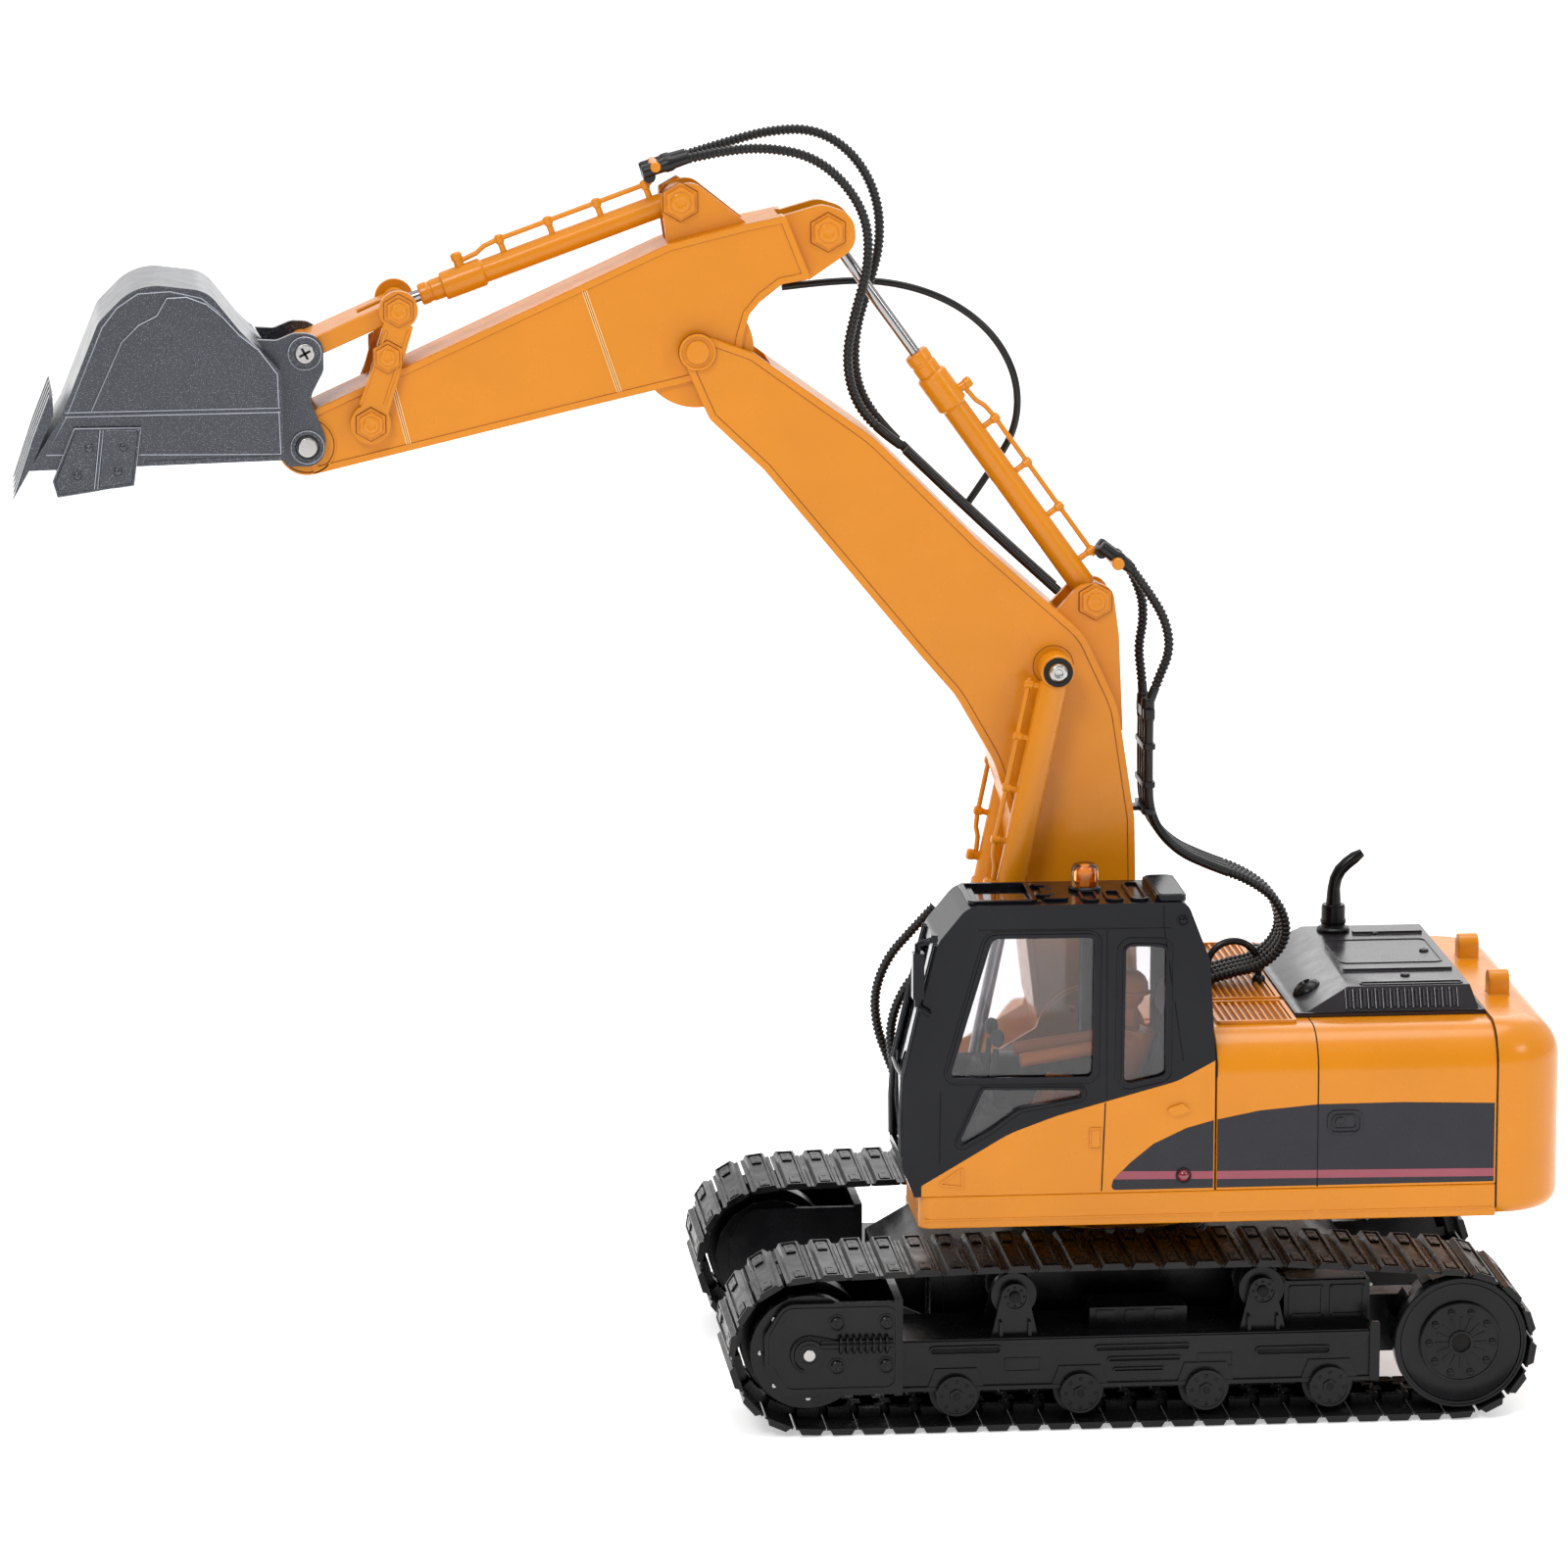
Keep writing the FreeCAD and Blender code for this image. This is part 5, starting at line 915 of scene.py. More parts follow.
def build_interior():
    moulded("driver_seat", "seat_plastic", 1.2)
    moulded("driver_figure", "figure_plastic", 0.5, smooth=50)
    bm = bmesh.new()
    back = [(1.0, 92), (4.5, 92), (9.5, 112), (12.4, 128), (11.6, 132.5), (8.2, 132.0), (6.8, 122),
            (4.4, 108)]
    prism(bm, rounded([(*p, 2.0) for p in back], 4), CAB_MID - 8.2, CAB_MID + 8.2)
    for y in (CAB_MID - 9.0, CAB_MID + 6.8):
        prism(bm, rounded([(-10, 99, 1), (3, 99, 1), (3, 102, 1), (-10, 102, 1)]), y, y + 2.2)
    piece("seat_cushions", bm, "seat_plastic", "house", 0.5, 35, finish=SEAT_GREY)
    bm = bmesh.new()
    for y in (-62.5, -43.5):
        swept(bm, [Vector((-60, y, 76)), Vector((-60.5, y, 100)), Vector((-57.5, y, 128)),
                   Vector((-52, y, 151))], 0.9, 10)
        swept(bm, [Vector((17.5, y, 78)), Vector((17.5, y, 118)), Vector((13.0, y, 154))], 0.9, 10)
    swept(bm, [Vector((-57.5, -62.5, 128)), Vector((-58.2, CAB_MID, 128.6)), Vector((-57.5, -43.5, 128))],
          0.7, 10)
    piece("cab_inner_bars", bm, "steel", "house", 0, 40, finish=PALE_TRIM)
    bm = bmesh.new()
    for y in (CAB_MID - 8, CAB_MID + 8):
        turned(bm, [(0.9, 115.6), (1.9, 116.8), (2.2, 118.6), (1.6, 120.4), (0.3, 121.0)], (-42.8, y), "z",
               18)
        turned(bm, [(2.6, 93.0), (2.6, 95.4), (1.6, 97.4), (1.2, 99.0)], (-45.4, y), "z", 18)
    block(bm, -49.0, -39.0, CAB_MID - 5.4, CAB_MID + 5.4, 95.0, 96.2, 1.0)
    prism(bm, [(-53.5, 96), (-50.5, 96), (-46.5, 109), (-48.8, 110)], CAB_MID - 6.2, CAB_MID + 6.2)
    piece("cab_controls", bm, "seat_plastic", "house", 0.2, 35)
    head = Vector((-2.5, CAB_MID, 130.1))
    bm = bmesh.new()
    along(bm, [(6.5, 0.4), (6.5, 1.6), (6.2, 3.4), (5.2, 5.2), (3.4, 6.5), (1.2, 7.0)], head,
          head + Vector((0.1, 0, 1)), 30)
    along(bm, [(7.3, 0.2), (7.3, 0.9), (6.2, 1.3)], head, head + Vector((0.1, 0, 1)), 30)
    swept(bm, [head + Vector((6.2, 0, 2.2)), head + Vector((2.0, 0, 6.6)), head + Vector((-4.8, 0, 4.6))],
          0.8, 8)
    for s in SIDES:
        dome(bm, (head.x - 0.5, head.z - 1.2), 1.8, head.y + s * 5.2, s * 0.9)
    piece("driver_helmet", bm, "figure_plastic", "house", 0.15, 35)
    bm = bmesh.new()
    for s in SIDES:
        along(bm, [(0.75, 0), (0.7, 0.35), (0.3, 0.6)], head + Vector((-5.1, s * 1.9, -0.4)),
              head + Vector((-6.2, s * 2.3, -0.4)), 12)
    swept(bm, [head + Vector((-5.05, -1.3, -2.5)), head + Vector((-5.2, 0, -2.8)),
               head + Vector((-5.05, 1.3, -2.5))], 0.22, 6)
    piece("driver_face", bm, "seat_plastic", "house", 0, 40)


def build_cab():
    build_cab_frame()
    build_roof()
    build_interior()


# ---- arm ----------------------------------------------------------------
BOOM_HALF, STICK_HALF = 15.2, 12.5
BOOM_TIP, STICK_REAR, BUCKET_CYL_BASE = (-129.5, 322.1), (-89.2, 357.1), (-134.0, 366.8)
STICK_CYL_BASE, BOOM_CYL_TOP, BOOM_CYL_LOW = (-6.8, 242.5), (-20.6, 224.0), (-48.3, 90.0)
ROCKER_LOW, ROCKER_MID, ROCKER_TOP = (-228.2, 301.5), (-223.0, 321.9), (-219.6, 335.8)
BUCKET_TOP_PIN, BUCKET_LOW_PIN = (-247.9, 323.3), (-247.4, 294.8)


def cap_details(bm, centre, r, base, top):
    """Flange under a hexagonal cap and a dished boss on it, on both sides."""
    for s in SIDES:
        prism(bm, hexagon(centre, r + 1.1), s * (base - 0.2), s * (base + 0.8))
        turned(bm, [(r * 0.62, s * (top - 0.1)), (r * 0.62, s * (top + 0.4)), (r * 0.5, s * (top + 0.6)),
                    (r * 0.36, s * (top + 0.6)), (r * 0.3, s * (top + 0.35)), (0, s * (top + 0.35))], centre,
                    "y", 28)


def fine_lines(bm, start, end, count, pitch, half):
    """Close parallel raised lines across a plate, on both sides."""
    start, end = Vector(start), Vector(end)
    across = (end - start).normalized().orthogonal() * pitch
    for k in range(count):
        shift = across * (k - (count - 1) / 2)
        for s in SIDES:
            line_bar(bm, [start + shift, end + shift], 0.3, s * (half - 0.05), s * (half + 0.16))


def edge_line(bm, outline, y, r=0.14):
    """Thin line round a closed outline on a face at y."""
    outline = list(outline)
    swept(bm, [Vector((p[0], y, p[1])) for p in outline + outline[:1]], r, 6)


BOOM_EDGE = [(-132.8, 317.2), (-134.6, 322.1), (-132.6, 326.4), (-129.5, 327.6), (-125.0, 326.2),
             (-112.4, 321.5, 3.0),
             (-75.8, 295.1, 60.0), (-43.3, 262.4), (-11.0, 233.4, 20.0), (-0.5, 211.0, 30.0), (4.9, 176.0),
             (6.3, 112.0), (4.0, 96.5, 10.0), (-20.0, 94.5, 12.0), (-26.0, 118.0), (-33.0, 176.0),
             (-38.6, 194.5, 30.0),
             (-50.3, 214.9, 30.0), (-61.2, 227.5), (-109.2, 285.7), (-125.8, 301.5, 4.0)]
BOOM_RIM = BOOM_HALF + 0.3


def build_boom():
    for node in ("boom_left_shell", "boom_right_shell"):
        moulded(node, "orange_plastic", 0.3)
    moulded("boom_pins", "orange_plastic", 1.0)
    bm = bmesh.new()
    cap_details(bm, STICK_CYL_BASE, 4.6, 8.3, 10.2)
    for s in SIDES:
        border(bm, offset_loop(rounded(BOOM_EDGE, 8), 0.15), 2.0, s * (BOOM_HALF - 0.1), s * BOOM_RIM)
        border(bm, circle(BOOM_TIP, 5.6, 40), 0.8, s * 15.9, s * 16.5)
    piece("boom_details", bm, "orange_plastic", "boom", 0.12, 35)
    # Darker lines inside the rim and round the tip boss, the hex cap and the cylinder pin: painted shade at
    # those edges.
    bm = bmesh.new()
    for s in SIDES:
        edge_line(bm, offset_loop(rounded(BOOM_EDGE, 8), 2.25), s * BOOM_HALF)
        edge_line(bm, circle(BOOM_TIP, 5.7, 40), s * 15.25)
        edge_line(bm, hexagon(STICK_CYL_BASE, 5.9), s * 8.35)
        edge_line(bm, circle(BOOM_CYL_TOP, 6.2, 40), s * 15.2)
    piece("boom_shade_lines", bm, "orange_plastic", "boom", 0, 60, finish=PAINTED_SHADE_ORANGE)
    bm = bmesh.new()
    for s in SIDES:
        border(bm, circle(BOOM_CYL_TOP, 4.5, 32), 1.5, s * 26.9, s * 27.7)
    piece("cylinder_pin_washers", bm, "black_plastic", "boom", 0.1, 35)
    bm = bmesh.new()
    for s in SIDES:
        turned(bm, [(2.7, s * 28.0), (2.7, s * 28.5), (2.2, s * 28.9), (1.3, s * 28.9), (1.1, s * 28.5),
                    (0, s * 28.5)],
               BOOM_CYL_TOP, "y", 28)
    piece("cylinder_pin_screws", bm, "steel", "boom", 0.08, 35)


STICK_EDGE = [(-138.0, 354.6), (-114.8, 360.3), (-102.4, 362.8), (-94.8, 343.6), (-103.6, 341.9),
              (-109.4, 337.6),
              (-113.4, 332.8), (-115.4, 326.0), (-116.5, 318.2), (-131.8, 312.6), (-168.7, 304.1),
              (-245.4, 286.0),
              (-251.1, 303.0)]


def build_stick():
    for node in ("stick_left_shell", "stick_right_shell"):
        moulded(node, "orange_plastic", 0.3)
    moulded("stick_pins", "orange_plastic", 0.3)
    bm = bmesh.new()
    for s in SIDES:
        border(bm, offset_loop(STICK_EDGE, 0.15), 1.9, s * (STICK_HALF - 0.1), s * (STICK_HALF + 0.4))
        border(bm, circle(BUCKET_LOW_PIN, 8.9, 48), 0.6, s * (STICK_HALF - 0.1), s * (STICK_HALF + 0.4))
    cap_details(bm, BUCKET_CYL_BASE, 4.8, 8.4, 10.4)
    cap_details(bm, STICK_REAR, 4.8, 8.4, 10.4)
    cap_details(bm, ROCKER_LOW, 3.9, 15.5, 17.4)
    piece("stick_details", bm, "orange_plastic", "stick", 0.1, 35)
    # Pale raised lines across the stick plates: painted highlights along their ridges.
    bm = bmesh.new()
    fine_lines(bm, (-163.6, 341.2), (-152.6, 309.0), 3, 0.6, STICK_HALF)
    fine_lines(bm, (-221.5, 313.6), (-216.6, 294.2), 3, 0.6, STICK_HALF)
    piece("stick_line_highlights", bm, "orange_plastic", "stick", 0, 35, finish=PAINTED_HIGHLIGHT_ORANGE)
    # Darker lines between the pale ones, inside the rims and round the pin bosses and caps: painted shade
    # along grooves and edges.
    bm = bmesh.new()
    fine_lines(bm, (-163.6, 341.2), (-152.6, 309.0), 2, 0.6, STICK_HALF - 0.06)
    fine_lines(bm, (-221.5, 313.6), (-216.6, 294.2), 2, 0.6, STICK_HALF - 0.06)
    for s in SIDES:
        edge_line(bm, offset_loop(STICK_EDGE, 2.05), s * STICK_HALF)
        edge_line(bm, circle(BUCKET_LOW_PIN, 8.15, 40), s * STICK_HALF)
        for centre in (BUCKET_CYL_BASE, STICK_REAR):
            edge_line(bm, hexagon(centre, 6.1), s * 8.4)
        edge_line(bm, hexagon(ROCKER_LOW, 5.2), s * 15.6)
    piece("stick_shade_lines", bm, "orange_plastic", "stick", 0, 60, finish=PAINTED_SHADE_ORANGE)
    moulded("rocker_link", "orange_plastic", 0.35)
    bm = bmesh.new()
    cap_details(bm, ROCKER_TOP, 3.9, 15.4, 17.3)
    cap_details(bm, ROCKER_MID, 3.9, 15.4, 17.3)
    for s in SIDES:
        for x in (-4.0, 3.4):
            line_bar(bm, [(ROCKER_LOW[0] + x + 0.8, ROCKER_LOW[1] + 6),
                          (ROCKER_TOP[0] + x * 0.9, ROCKER_TOP[1] - 6)], 0.7,
                     s * 15.4, s * 15.9)
    piece("rocker_details", bm, "orange_plastic", "rocker_link", 0.1, 35)
    # Darker outlines round the rocker's hex caps: painted shade at their edges.
    bm = bmesh.new()
    for s in SIDES:
        for centre in (ROCKER_TOP, ROCKER_MID):
            edge_line(bm, hexagon(centre, 5.1), s * 15.55)
            edge_line(bm, hexagon(centre, 3.95), s * 16.25, 0.1)
    piece("rocker_shade_lines", bm, "orange_plastic", "rocker_link", 0, 60, finish=PAINTED_SHADE_ORANGE)
    moulded("bucket_link", "orange_plastic", 0.5)


# ---- cylinders ----------------------------------------------------------
def flat(p, y=0.0):
    return Vector((p[0], y, p[1]))


def barrel(bm, base, top, y, profile, eye, half):
    """Turned barrel from its pivot eye toward the rod end."""
    along(bm, profile, flat(base, y), flat(top, y), 40)
    turned(bm, [(eye - 0.8, y - half), (eye, y - half + 0.8), (eye, y + half - 0.8), (eye - 0.8, y + half)],
           base)


def rail(bm, base, top, y, reach, first, last, side, clips):
    """Hard pipe beside a barrel: a plugged block at its far end, an S-bend, and small clips to the barrel."""
    u = (flat(top) - flat(base)).normalized()
    n = Vector((-u.z, 0, u.x)) * side
    start = flat(base, y)

    def spot(distance, height):
        return start + u * distance + n * height

    run = [spot(first, reach), spot(first + 3, reach), spot(last - 12, reach), spot(last - 8, reach - 0.4),
           spot(last - 5, reach - 1.6), spot(last - 1, reach - 2.0), spot(last + 1.5, reach - 2.0)]
    swept(bm, run, 0.8, 12)
    along(bm, [(1.5, 0), (1.5, reach - 1.4), (1.8, reach - 1.4), (1.8, reach + 0.2), (1.3, reach + 0.8)],
          spot(last + 1.0, 0), spot(last + 1.0, 5), 20)
    for k in range(clips):
        at = first + 2 + (last - 15 - first) * k / (clips - 1)
        along(bm, [(1.0, 0), (1.0, reach - 1.6), (1.35, reach - 1.2), (1.35, reach + 1.0),
                   (0.9, reach + 1.4)],
              spot(at, 0), spot(at, 5), 16)
    return spot


def boots(bm, ends, pin, half):
    """Soft sleeves where a hose pair meets its pipes."""
    for y in (-half, half):
        a, b = flat(ends[0], y), flat(ends[1], y)
        long = (b - a).length
        along(bm, [(1.7, 0), (2.0, 0.8), (2.0, long * 0.45), (2.35, long * 0.5), (2.35, long * 0.62),
                   (1.95, long * 0.68),
                   (1.75, long)], a, b, 24)
    turned(bm, [(1.9, -half), (1.9, half)], pin, "y", 20)


def build_cylinders():
    bm = bmesh.new()
    for y in (-22.2, 22.2):
        barrel(bm, BOOM_CYL_TOP, BOOM_CYL_LOW, y,
               [(3.4, 3.5), (4.4, 5.0), (4.4, 75.4), (5.0, 76.2), (5.0, 82.6), (4.5, 83.2), (4.0, 83.2),
                (4.0, 84.0)], 5.2, 4.6)
        rail(bm, BOOM_CYL_TOP, BOOM_CYL_LOW, y, 7.4, 4.0, 68.0, -1, 4)
        border(bm, circle(BOOM_CYL_TOP, 4.8, 36), 0.5, math.copysign(26.6, y), math.copysign(27.0, y))
    piece("boom_barrels", bm, "orange_plastic", "boom_cylinder_barrels", 0.12, 35, ["boom_cylinder_barrels"])
    bm = bmesh.new()
    barrel(bm, STICK_CYL_BASE, STICK_REAR, 0.0,
           [(2.8, 3.0), (4.0, 5.0), (4.0, 73.4), (4.9, 74.4), (4.9, 85.4), (4.4, 86.0), (3.9, 86.0),
            (3.9, 89.6),
            (3.65, 89.8), (3.65, 90.6), (3.9, 90.8), (3.9, 93.4), (3.5, 94.0)], 4.8, 5.4)
    rail(bm, STICK_CYL_BASE, STICK_REAR, 0.0, 8.2, 10.0, 76.0, -1, 4)
    turned(bm, [(1.6, -7.6), (1.9, -7.2), (1.9, 7.2), (1.6, 7.6)], (0.4, 253.6), "y", 20)
    piece("stick_barrel", bm, "orange_plastic", "stick_cylinder_barrel", 0.12, 35, ["stick_cylinder_barrel"])
    bm = bmesh.new()
    barrel(bm, BUCKET_CYL_BASE, ROCKER_TOP, 0.0,
           [(2.6, 3.0), (3.65, 5.0), (3.65, 62.4), (4.4, 63.2), (4.4, 75.4), (4.0, 76.0), (3.4, 76.0),
            (3.4, 79.4),
            (3.15, 79.6), (3.15, 80.4), (3.4, 80.6), (3.4, 82.8), (3.0, 83.4)], 4.6, 5.4)
    rail(bm, BUCKET_CYL_BASE, ROCKER_TOP, 0.0, 7.6, 6.0, 68.0, -1, 4)
    turned(bm, [(1.3, -7.6), (1.6, -7.2), (1.6, 7.2), (1.3, 7.6)], (-141.3, 377.2), "y", 20)
    piece("bucket_barrel", bm, "orange_plastic", "bucket_cylinder_barrel", 0.12, 35,
          ["bucket_cylinder_barrel"])
    bm = bmesh.new()
    boots(bm, ((-145.2, 375.4), (-131.2, 379.8)), (-143.0, 374.0), 5.0)
    piece("bucket_hose_boots", bm, "hose_rubber", "bucket_cylinder_barrel", 0.1, 40)
    bm = bmesh.new()
    boots(bm, ((-4.6, 258.8), (5.2, 251.4)), (-4.2, 256.6), 3.2)
    piece("stick_hose_boots", bm, "hose_rubber", "stick_cylinder_barrel", 0.1, 40)
    for node in ("boom_cylinder_rods", "stick_cylinder_rod", "bucket_cylinder_rod"):
        moulded(node, "chrome", 0.3)
    bm = bmesh.new()
    for s in SIDES:
        prism(bm, hexagon(BOOM_CYL_LOW, 5.6), s * 29.1, s * 29.9)
        turned(bm, [(2.8, s * 30.9), (2.8, s * 31.3), (2.3, s * 31.6), (1.7, s * 31.6), (1.4, s * 31.2),
                    (0, s * 31.2)],
               BOOM_CYL_LOW, "y", 28)
    piece("bracket_caps", bm, "orange_plastic", "house", 0.1, 35)


# ---- bucket -------------------------------------------------------------
BUCKET_HALF = 23.8
BUCKET_EDGE = [(-254.6, 293.0), (-255.4, 318.6), (-262.0, 327.4), (-267.6, 331.8), (-273.0, 338.0),
               (-278.4, 342.4),
               (-288.0, 344.6), (-298.0, 344.0), (-304.6, 339.6), (-309.4, 333.4), (-320.6, 306.2),
               (-327.6, 293.8)]


def build_bucket():
    moulded("bucket_bowl", "bucket_metal", 0.35)
    bm = bmesh.new()
    inner = [(-312.1, 307.8), (-302.7, 328.5), (-297.6, 333.6), (-292.1, 336.4), (-289.1, 341.6)]
    second = [(-262.4, 326.0), (-267.4, 330.0), (-272.4, 335.6), (-277.2, 339.6), (-283.2, 341.9),
              (-289.1, 341.6)]
    for s in SIDES:
        face = s * (BUCKET_HALF - 0.1)
        for line in (inner, second):
            line_bar(bm, line, 0.7, face, s * (BUCKET_HALF + 0.35))
        line_bar(bm, [(-320.2, 306.6), (-255.6, 307.6)], 0.9, face, s * (BUCKET_HALF + 0.3))
        line_bar(bm, [(-296.4, 291.9), (-255.4, 293.1)], 1.4, face, s * (BUCKET_HALF + 0.4))
        for panel in ([(-316.9, 302.4, 0.8), (-309.6, 302.5, 0.5), (-311.6, 284.4, 0.5), (-322.2, 282.9, 0.8),
                       (-323.3, 287.0, 0.8)],
                      [(-308.6, 302.5, 0.5), (-298.0, 302.4, 0.8), (-300.2, 286.0, 0.8),
                       (-310.6, 284.6, 0.5)]):
            tapered(bm, rounded(panel, 4), s * 25.1, s * 25.7, 0.94)
        for spot in ((-312.9, 297.0), (-302.7, 297.2), (-316.5, 288.8), (-304.5, 289.8)):
            border(bm, circle(spot, 1.7, 20), 0.4, s * 25.6, s * 25.8)
            dome(bm, spot, 1.25, s * 25.6, s * 0.7)
        for centre in (BUCKET_TOP_PIN, BUCKET_LOW_PIN):
            border(bm, circle(centre, 5.1, 36), 0.8, s * 15.2, s * 16.1)
    piece("bucket_details", bm, "bucket_metal", "bucket", 0.12, 35)
    # Thin light lines along the bucket's edges, ridges and pin bosses: painted highlights.
    bm = bmesh.new()
    for s in SIDES:
        face = s * BUCKET_HALF
        edge_line(bm, offset_loop(BUCKET_EDGE, 1.0), face, 0.2)
        for line in (inner, second):
            swept(bm, [Vector((x, s * (BUCKET_HALF + 0.35), z)) for x, z in line], 0.2, 6)
        for z in (306.2, 307.5):
            swept(bm, [Vector((-320.0, s * (BUCKET_HALF + 0.2), z)),
                       Vector((-255.6, s * (BUCKET_HALF + 0.2), z + 0.6))], 0.16, 6)
        edge_line(bm, [(-317.3, 302.9), (-297.4, 302.9), (-299.7, 285.5), (-322.6, 282.2), (-323.9, 287.0)],
                  s * 25.2, 0.18)
        for x in (-309.6, -308.6):
            swept(bm, [Vector((x, s * 25.7, 302.4)), Vector((x - 2.0, s * 25.7, 284.6))], 0.14, 6)
        for centre in (BUCKET_TOP_PIN, BUCKET_LOW_PIN):
            edge_line(bm, circle(centre, 5.0, 40), s * 16.0)
    piece("bucket_edge_highlights", bm, "bucket_metal", "bucket", 0, 60, finish=EDGE_HIGHLIGHT)
    moulded("bucket_pins", "steel", 0.6)
    bm = bmesh.new()
    for s in SIDES:
        for lean in (0.5, 2.07):
            a = Vector((math.cos(lean), math.sin(lean))) * 1.9
            centre = Vector(BUCKET_TOP_PIN)
            line_bar(bm, [centre - a, centre + a], 0.75, s * 16.7, s * 16.95)
        border(bm, circle(BUCKET_LOW_PIN, 3.7, 32), 0.35, s * 15.7, s * 16.0)
    piece("bucket_pin_marks", bm, "steel", "bucket", 0, 35, finish=DARK_GAP)


# ---- hoses --------------------------------------------------------------
# The same route points as the CAD tubes, in metres.
BUCKET_HOSE = [(-.131, .005, .3796), (-.119, .0053, .3832), (-.106, .0056, .3866), (-.092, .006, .387),
               (-.0805, .006, .380), (-.073, .006, .3675), (-.0715, .006, .3525), (-.0755, .006, .338),
               (-.0795, .006, .3245), (-.0795, .006, .3105), (-.0743, .0058, .2993), (-.0665, .0056, .2912)]
BUCKET_HOSE_2 = [(-.131, -.005, .3796), (-.1195, -.0053, .382), (-.107, -.0056, .3826), (-.094, -.0058, .380),
                 (-.0838, -.006, .372), (-.077, -.006, .3605), (-.0765, -.006, .3465), (-.0805, -.006, .333),
                 (-.0835, -.006, .3195), (-.0815, -.006, .3065), (-.0745, -.0058, .2968),
                 (-.0665, -.0056, .2912)]
MOTOR_WIRE = [(-.1016, .0095, .3382), (-.0885, .010, .3396), (-.0735, .0102, .340), (-.0585, .0104, .337),
              (-.045, .0105, .3305), (-.0345, .0105, .3205), (-.0286, .0105, .3075), (-.0292, .0103, .2935),
              (-.0365, .010, .2815), (-.0446, .010, .2699)]
BASE_HOSE = [(.0044, -.003, .2523), (.0109, -.0036, .2436), (.0156, -.0046, .2354), (.017, -.0054, .2262),
             (.0132, -.0054, .2174), (.0102, -.005, .2086)]
BASE_HOSE_2 = [(.0044, .003, .2523), (.009, .0036, .2438), (.010, .0046, .2346), (.0084, .0052, .2256),
               (.0096, .005, .2168), (.0102, .005, .2086)]
BUNDLE = [(.0102, 0, .206), (.010, 0, .190), (.0106, 0, .1745), (.0186, 0, .1642), (.030, 0, .1588),
          (.042, 0, .1544), (.0515, 0, .1472), (.0546, 0, .1358), (.047, 0, .1268), (.036, 0, .1248),
          (.0265, 0, .1218)]
BUNDLE_Y = (-.0075, -.0025, .0025, .0075)
FOOT_HOSE = [(-.0526, .0222, .1415), (-.0596, .0222, .134), (-.0672, .0222, .1256), (-.0714, .0222, .1146),
             (-.0706, .0222, .103), (-.0664, .0222, .092), (-.0624, .0222, .0814)]
BOOM_PIPE = [(-.0652, 0, .2899), (-.042, 0, .2672), (-.018, 0, .2454)]


def route_line(points):
    """Points along the smooth NURBS line with these control points, in millimetres, evenly spaced."""
    curve = bpy.data.curves.new("route", "CURVE")
    curve.dimensions = "3D"
    curve.resolution_u = 24
    spline = curve.splines.new("NURBS")
    spline.points.add(len(points) - 1)
    for place, point in zip(spline.points, points):
        place.co = (*point, 1.0)
    spline.order_u = 3
    spline.use_endpoint_u = True
    holder = bpy.data.objects.new("route", curve)
    bpy.context.scene.collection.objects.link(holder)
    mesh = bpy.data.meshes.new_from_object(holder)
    line = [v.co / MM for v in mesh.vertices]
    bpy.data.objects.remove(holder)
    bpy.data.curves.remove(curve)
    bpy.data.meshes.remove(mesh)
    return line


def evenly(line, step):
    """The same line with points at equal distances."""
    lengths = [0.0]
    for a, b in zip(line, line[1:]):
        lengths.append(lengths[-1] + (b - a).length)
    count = max(2, round(lengths[-1] / step))
    result = []
    i = 0
    for k in range(count + 1):
        along = lengths[-1] * k / count
        while i < len(line) - 2 and lengths[i + 1] < along:
            i += 1
        share = (along - lengths[i]) / max(lengths[i + 1] - lengths[i], 1e-9)
        result.append(line[i].lerp(line[i + 1], min(1.0, max(0.0, share))))
    return result


RIB_STEP = 0.36
RIB_RADII = (1.62, 1.62, 1.3, 1.22)


def ribbed(bm, line, smooth_from=None):
    """Corrugated hose; past smooth_from (share of its length) it is a plain sleeve."""
    points = evenly(line, RIB_STEP)
    last = len(points) if smooth_from is None else int(len(points) * smooth_from)
    swept(bm, points, lambda i: RIB_RADII[i % 4] if i < last else 1.5, 12)


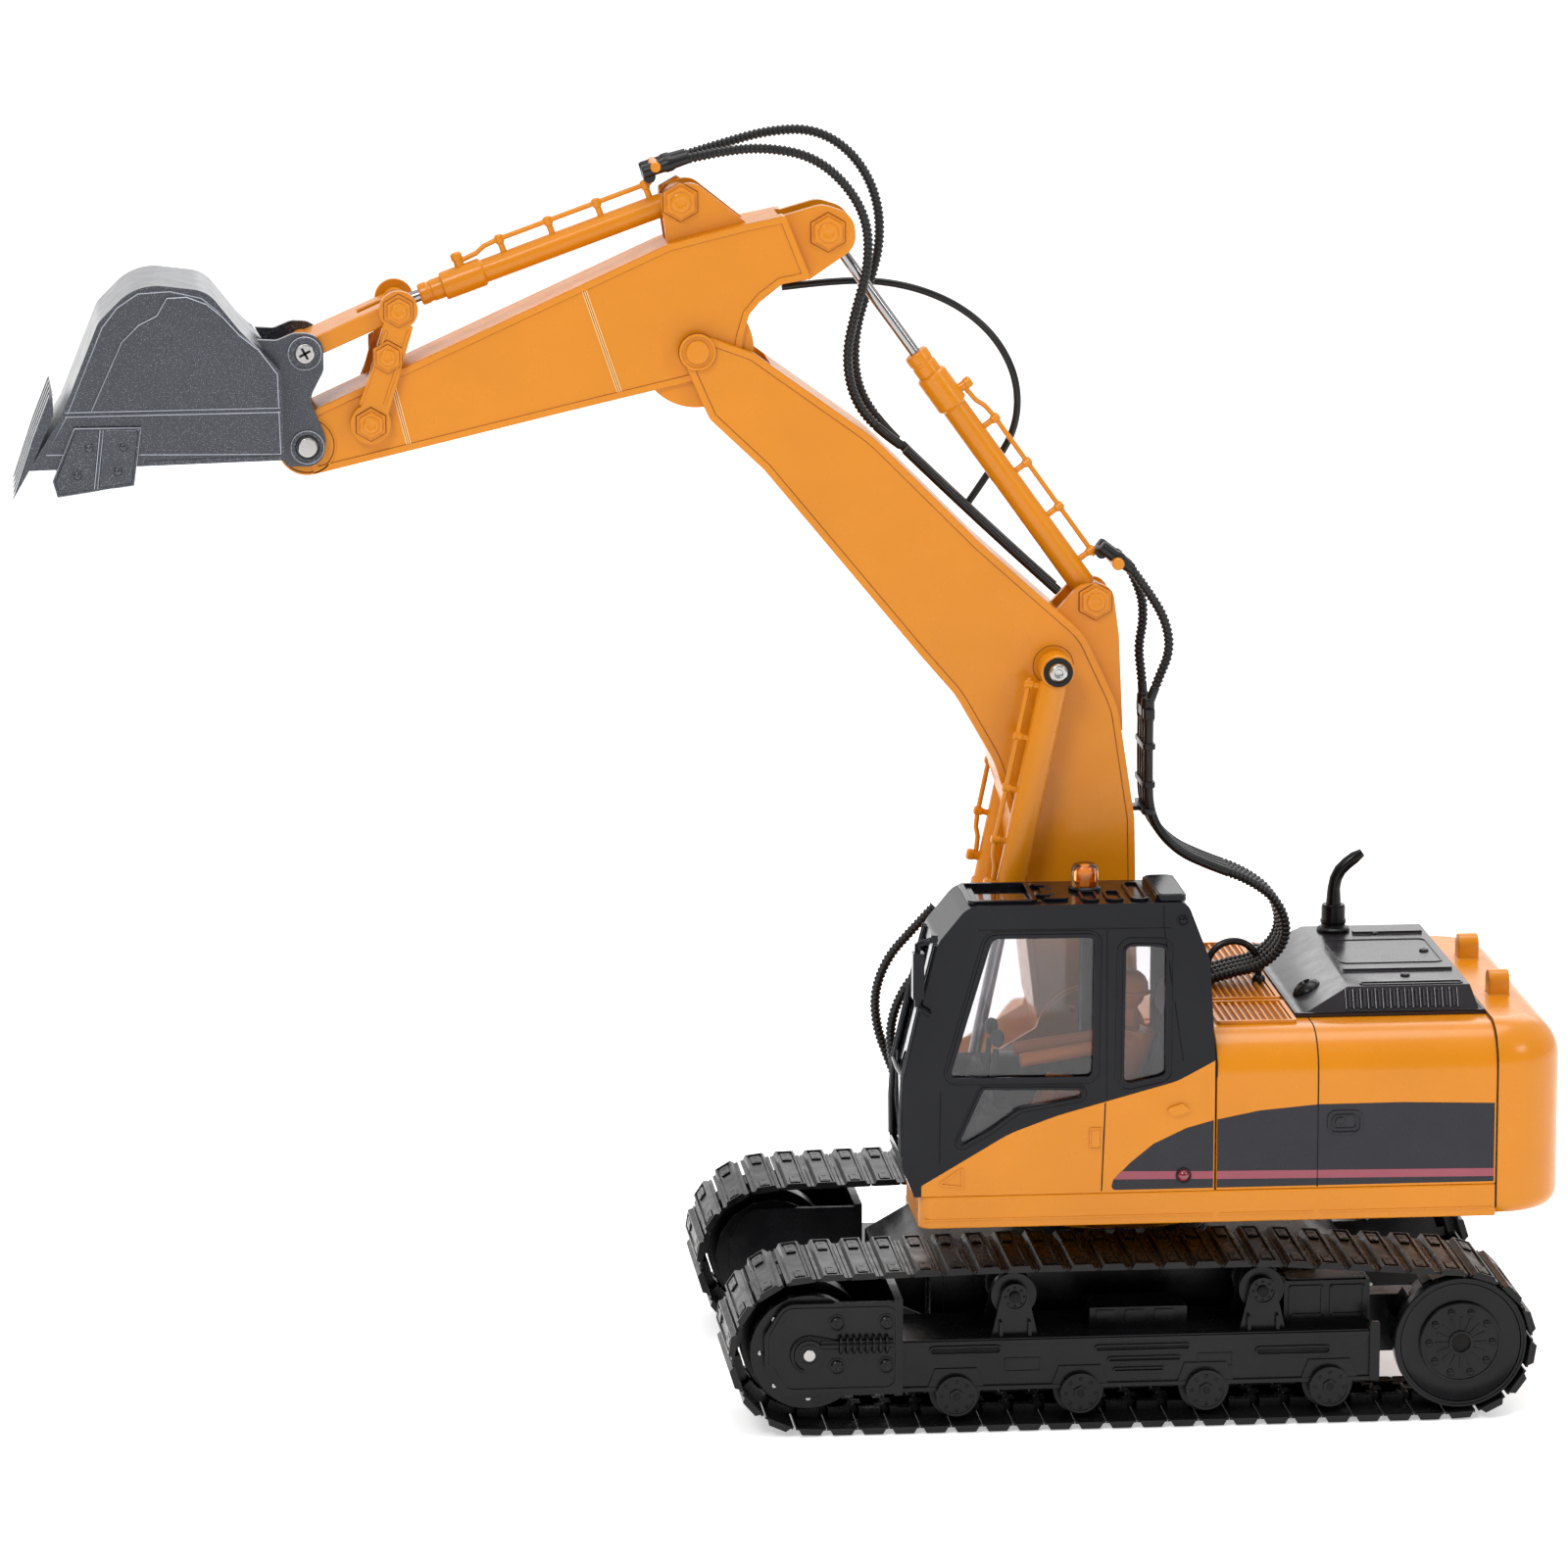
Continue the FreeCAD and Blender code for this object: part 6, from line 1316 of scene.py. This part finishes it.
def build_sleeves():
    """Plain sleeves and clips that join the hose ends on the back of the boom."""
    bm = bmesh.new()
    for y in (-5.0, 5.0):
        along(bm, [(1.7, 0), (2.1, 0.8), (2.1, 7.0), (1.8, 8.0)], Vector((10.2, y, 211.6)),
              Vector((10.2, y, 203.6)), 20)
    block(bm, 8.4, 12.0, -9.4, 9.4, 205.4, 208.4, 1.2)
    for z in (196.0, 184.0, 175.6):
        block(bm, 8.2, 12.2, -9.6, 9.6, z, z + 1.8, 1.2)
    block(bm, 5.0, 9.0, -3.0, 3.0, 175.8, 177.2, 0.6)
    piece("boom_hose_clips", bm, "hose_rubber", "boom", 0.15, 40)


def build_hoses():
    bm = bmesh.new()
    for points in (BUCKET_HOSE, BUCKET_HOSE_2):
        ribbed(bm, route_line(points), 0.93)
    swept(bm, evenly(route_line(MOTOR_WIRE), 1.2), 1.15, 14)
    build_sleeves()
    hoses = piece("stick_hose_set", bm, "hose_rubber", None, 0, 50, ["stick_hoses"])
    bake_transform(hoses)
    bm = bmesh.new()
    for points in (BASE_HOSE, BASE_HOSE_2):
        ribbed(bm, route_line(points), 0.86)
    base = piece("base_hose_set", bm, "hose_rubber", None, 0, 50, ["stick_cylinder_hoses"])
    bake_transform(base)
    bm = bmesh.new()
    for offset in BUNDLE_Y:
        line = evenly(route_line([(x, y + offset, z) for x, y, z in BUNDLE]), RIB_STEP)
        smooth_until = int(len(line) * 0.5)
        swept(bm, line, lambda i: 1.5 if i < smooth_until else RIB_RADII[i % 4], 12)
    bundle = piece("hose_bundle", bm, "hose_rubber", None, 0, 50, ["house_hose_bundle"])
    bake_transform(bundle)
    bm = bmesh.new()
    for side in SIDES:
        ribbed(bm, route_line([(x, y * side, z) for x, y, z in FOOT_HOSE]))
    feet = piece("foot_hose_set", bm, "hose_rubber", None, 0, 50, ["boom_cylinder_hoses"])
    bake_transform(feet)
    bm = bmesh.new()
    for y in (-.0056, .0056):
        swept(bm, evenly(route_line([(x, y, z) for x, _, z in BOOM_PIPE]), 2.0), 1.5, 14)
    piece("boom_pipe_set", bm, "hose_rubber", "boom", 0, 50, ["boom_pipes"])


paint_cad_nodes()
build_undercarriage()
build_house()
build_cab()
build_boom()
build_stick()
build_cylinders()
build_bucket()
build_hoses()
build_stage()
build_camera()
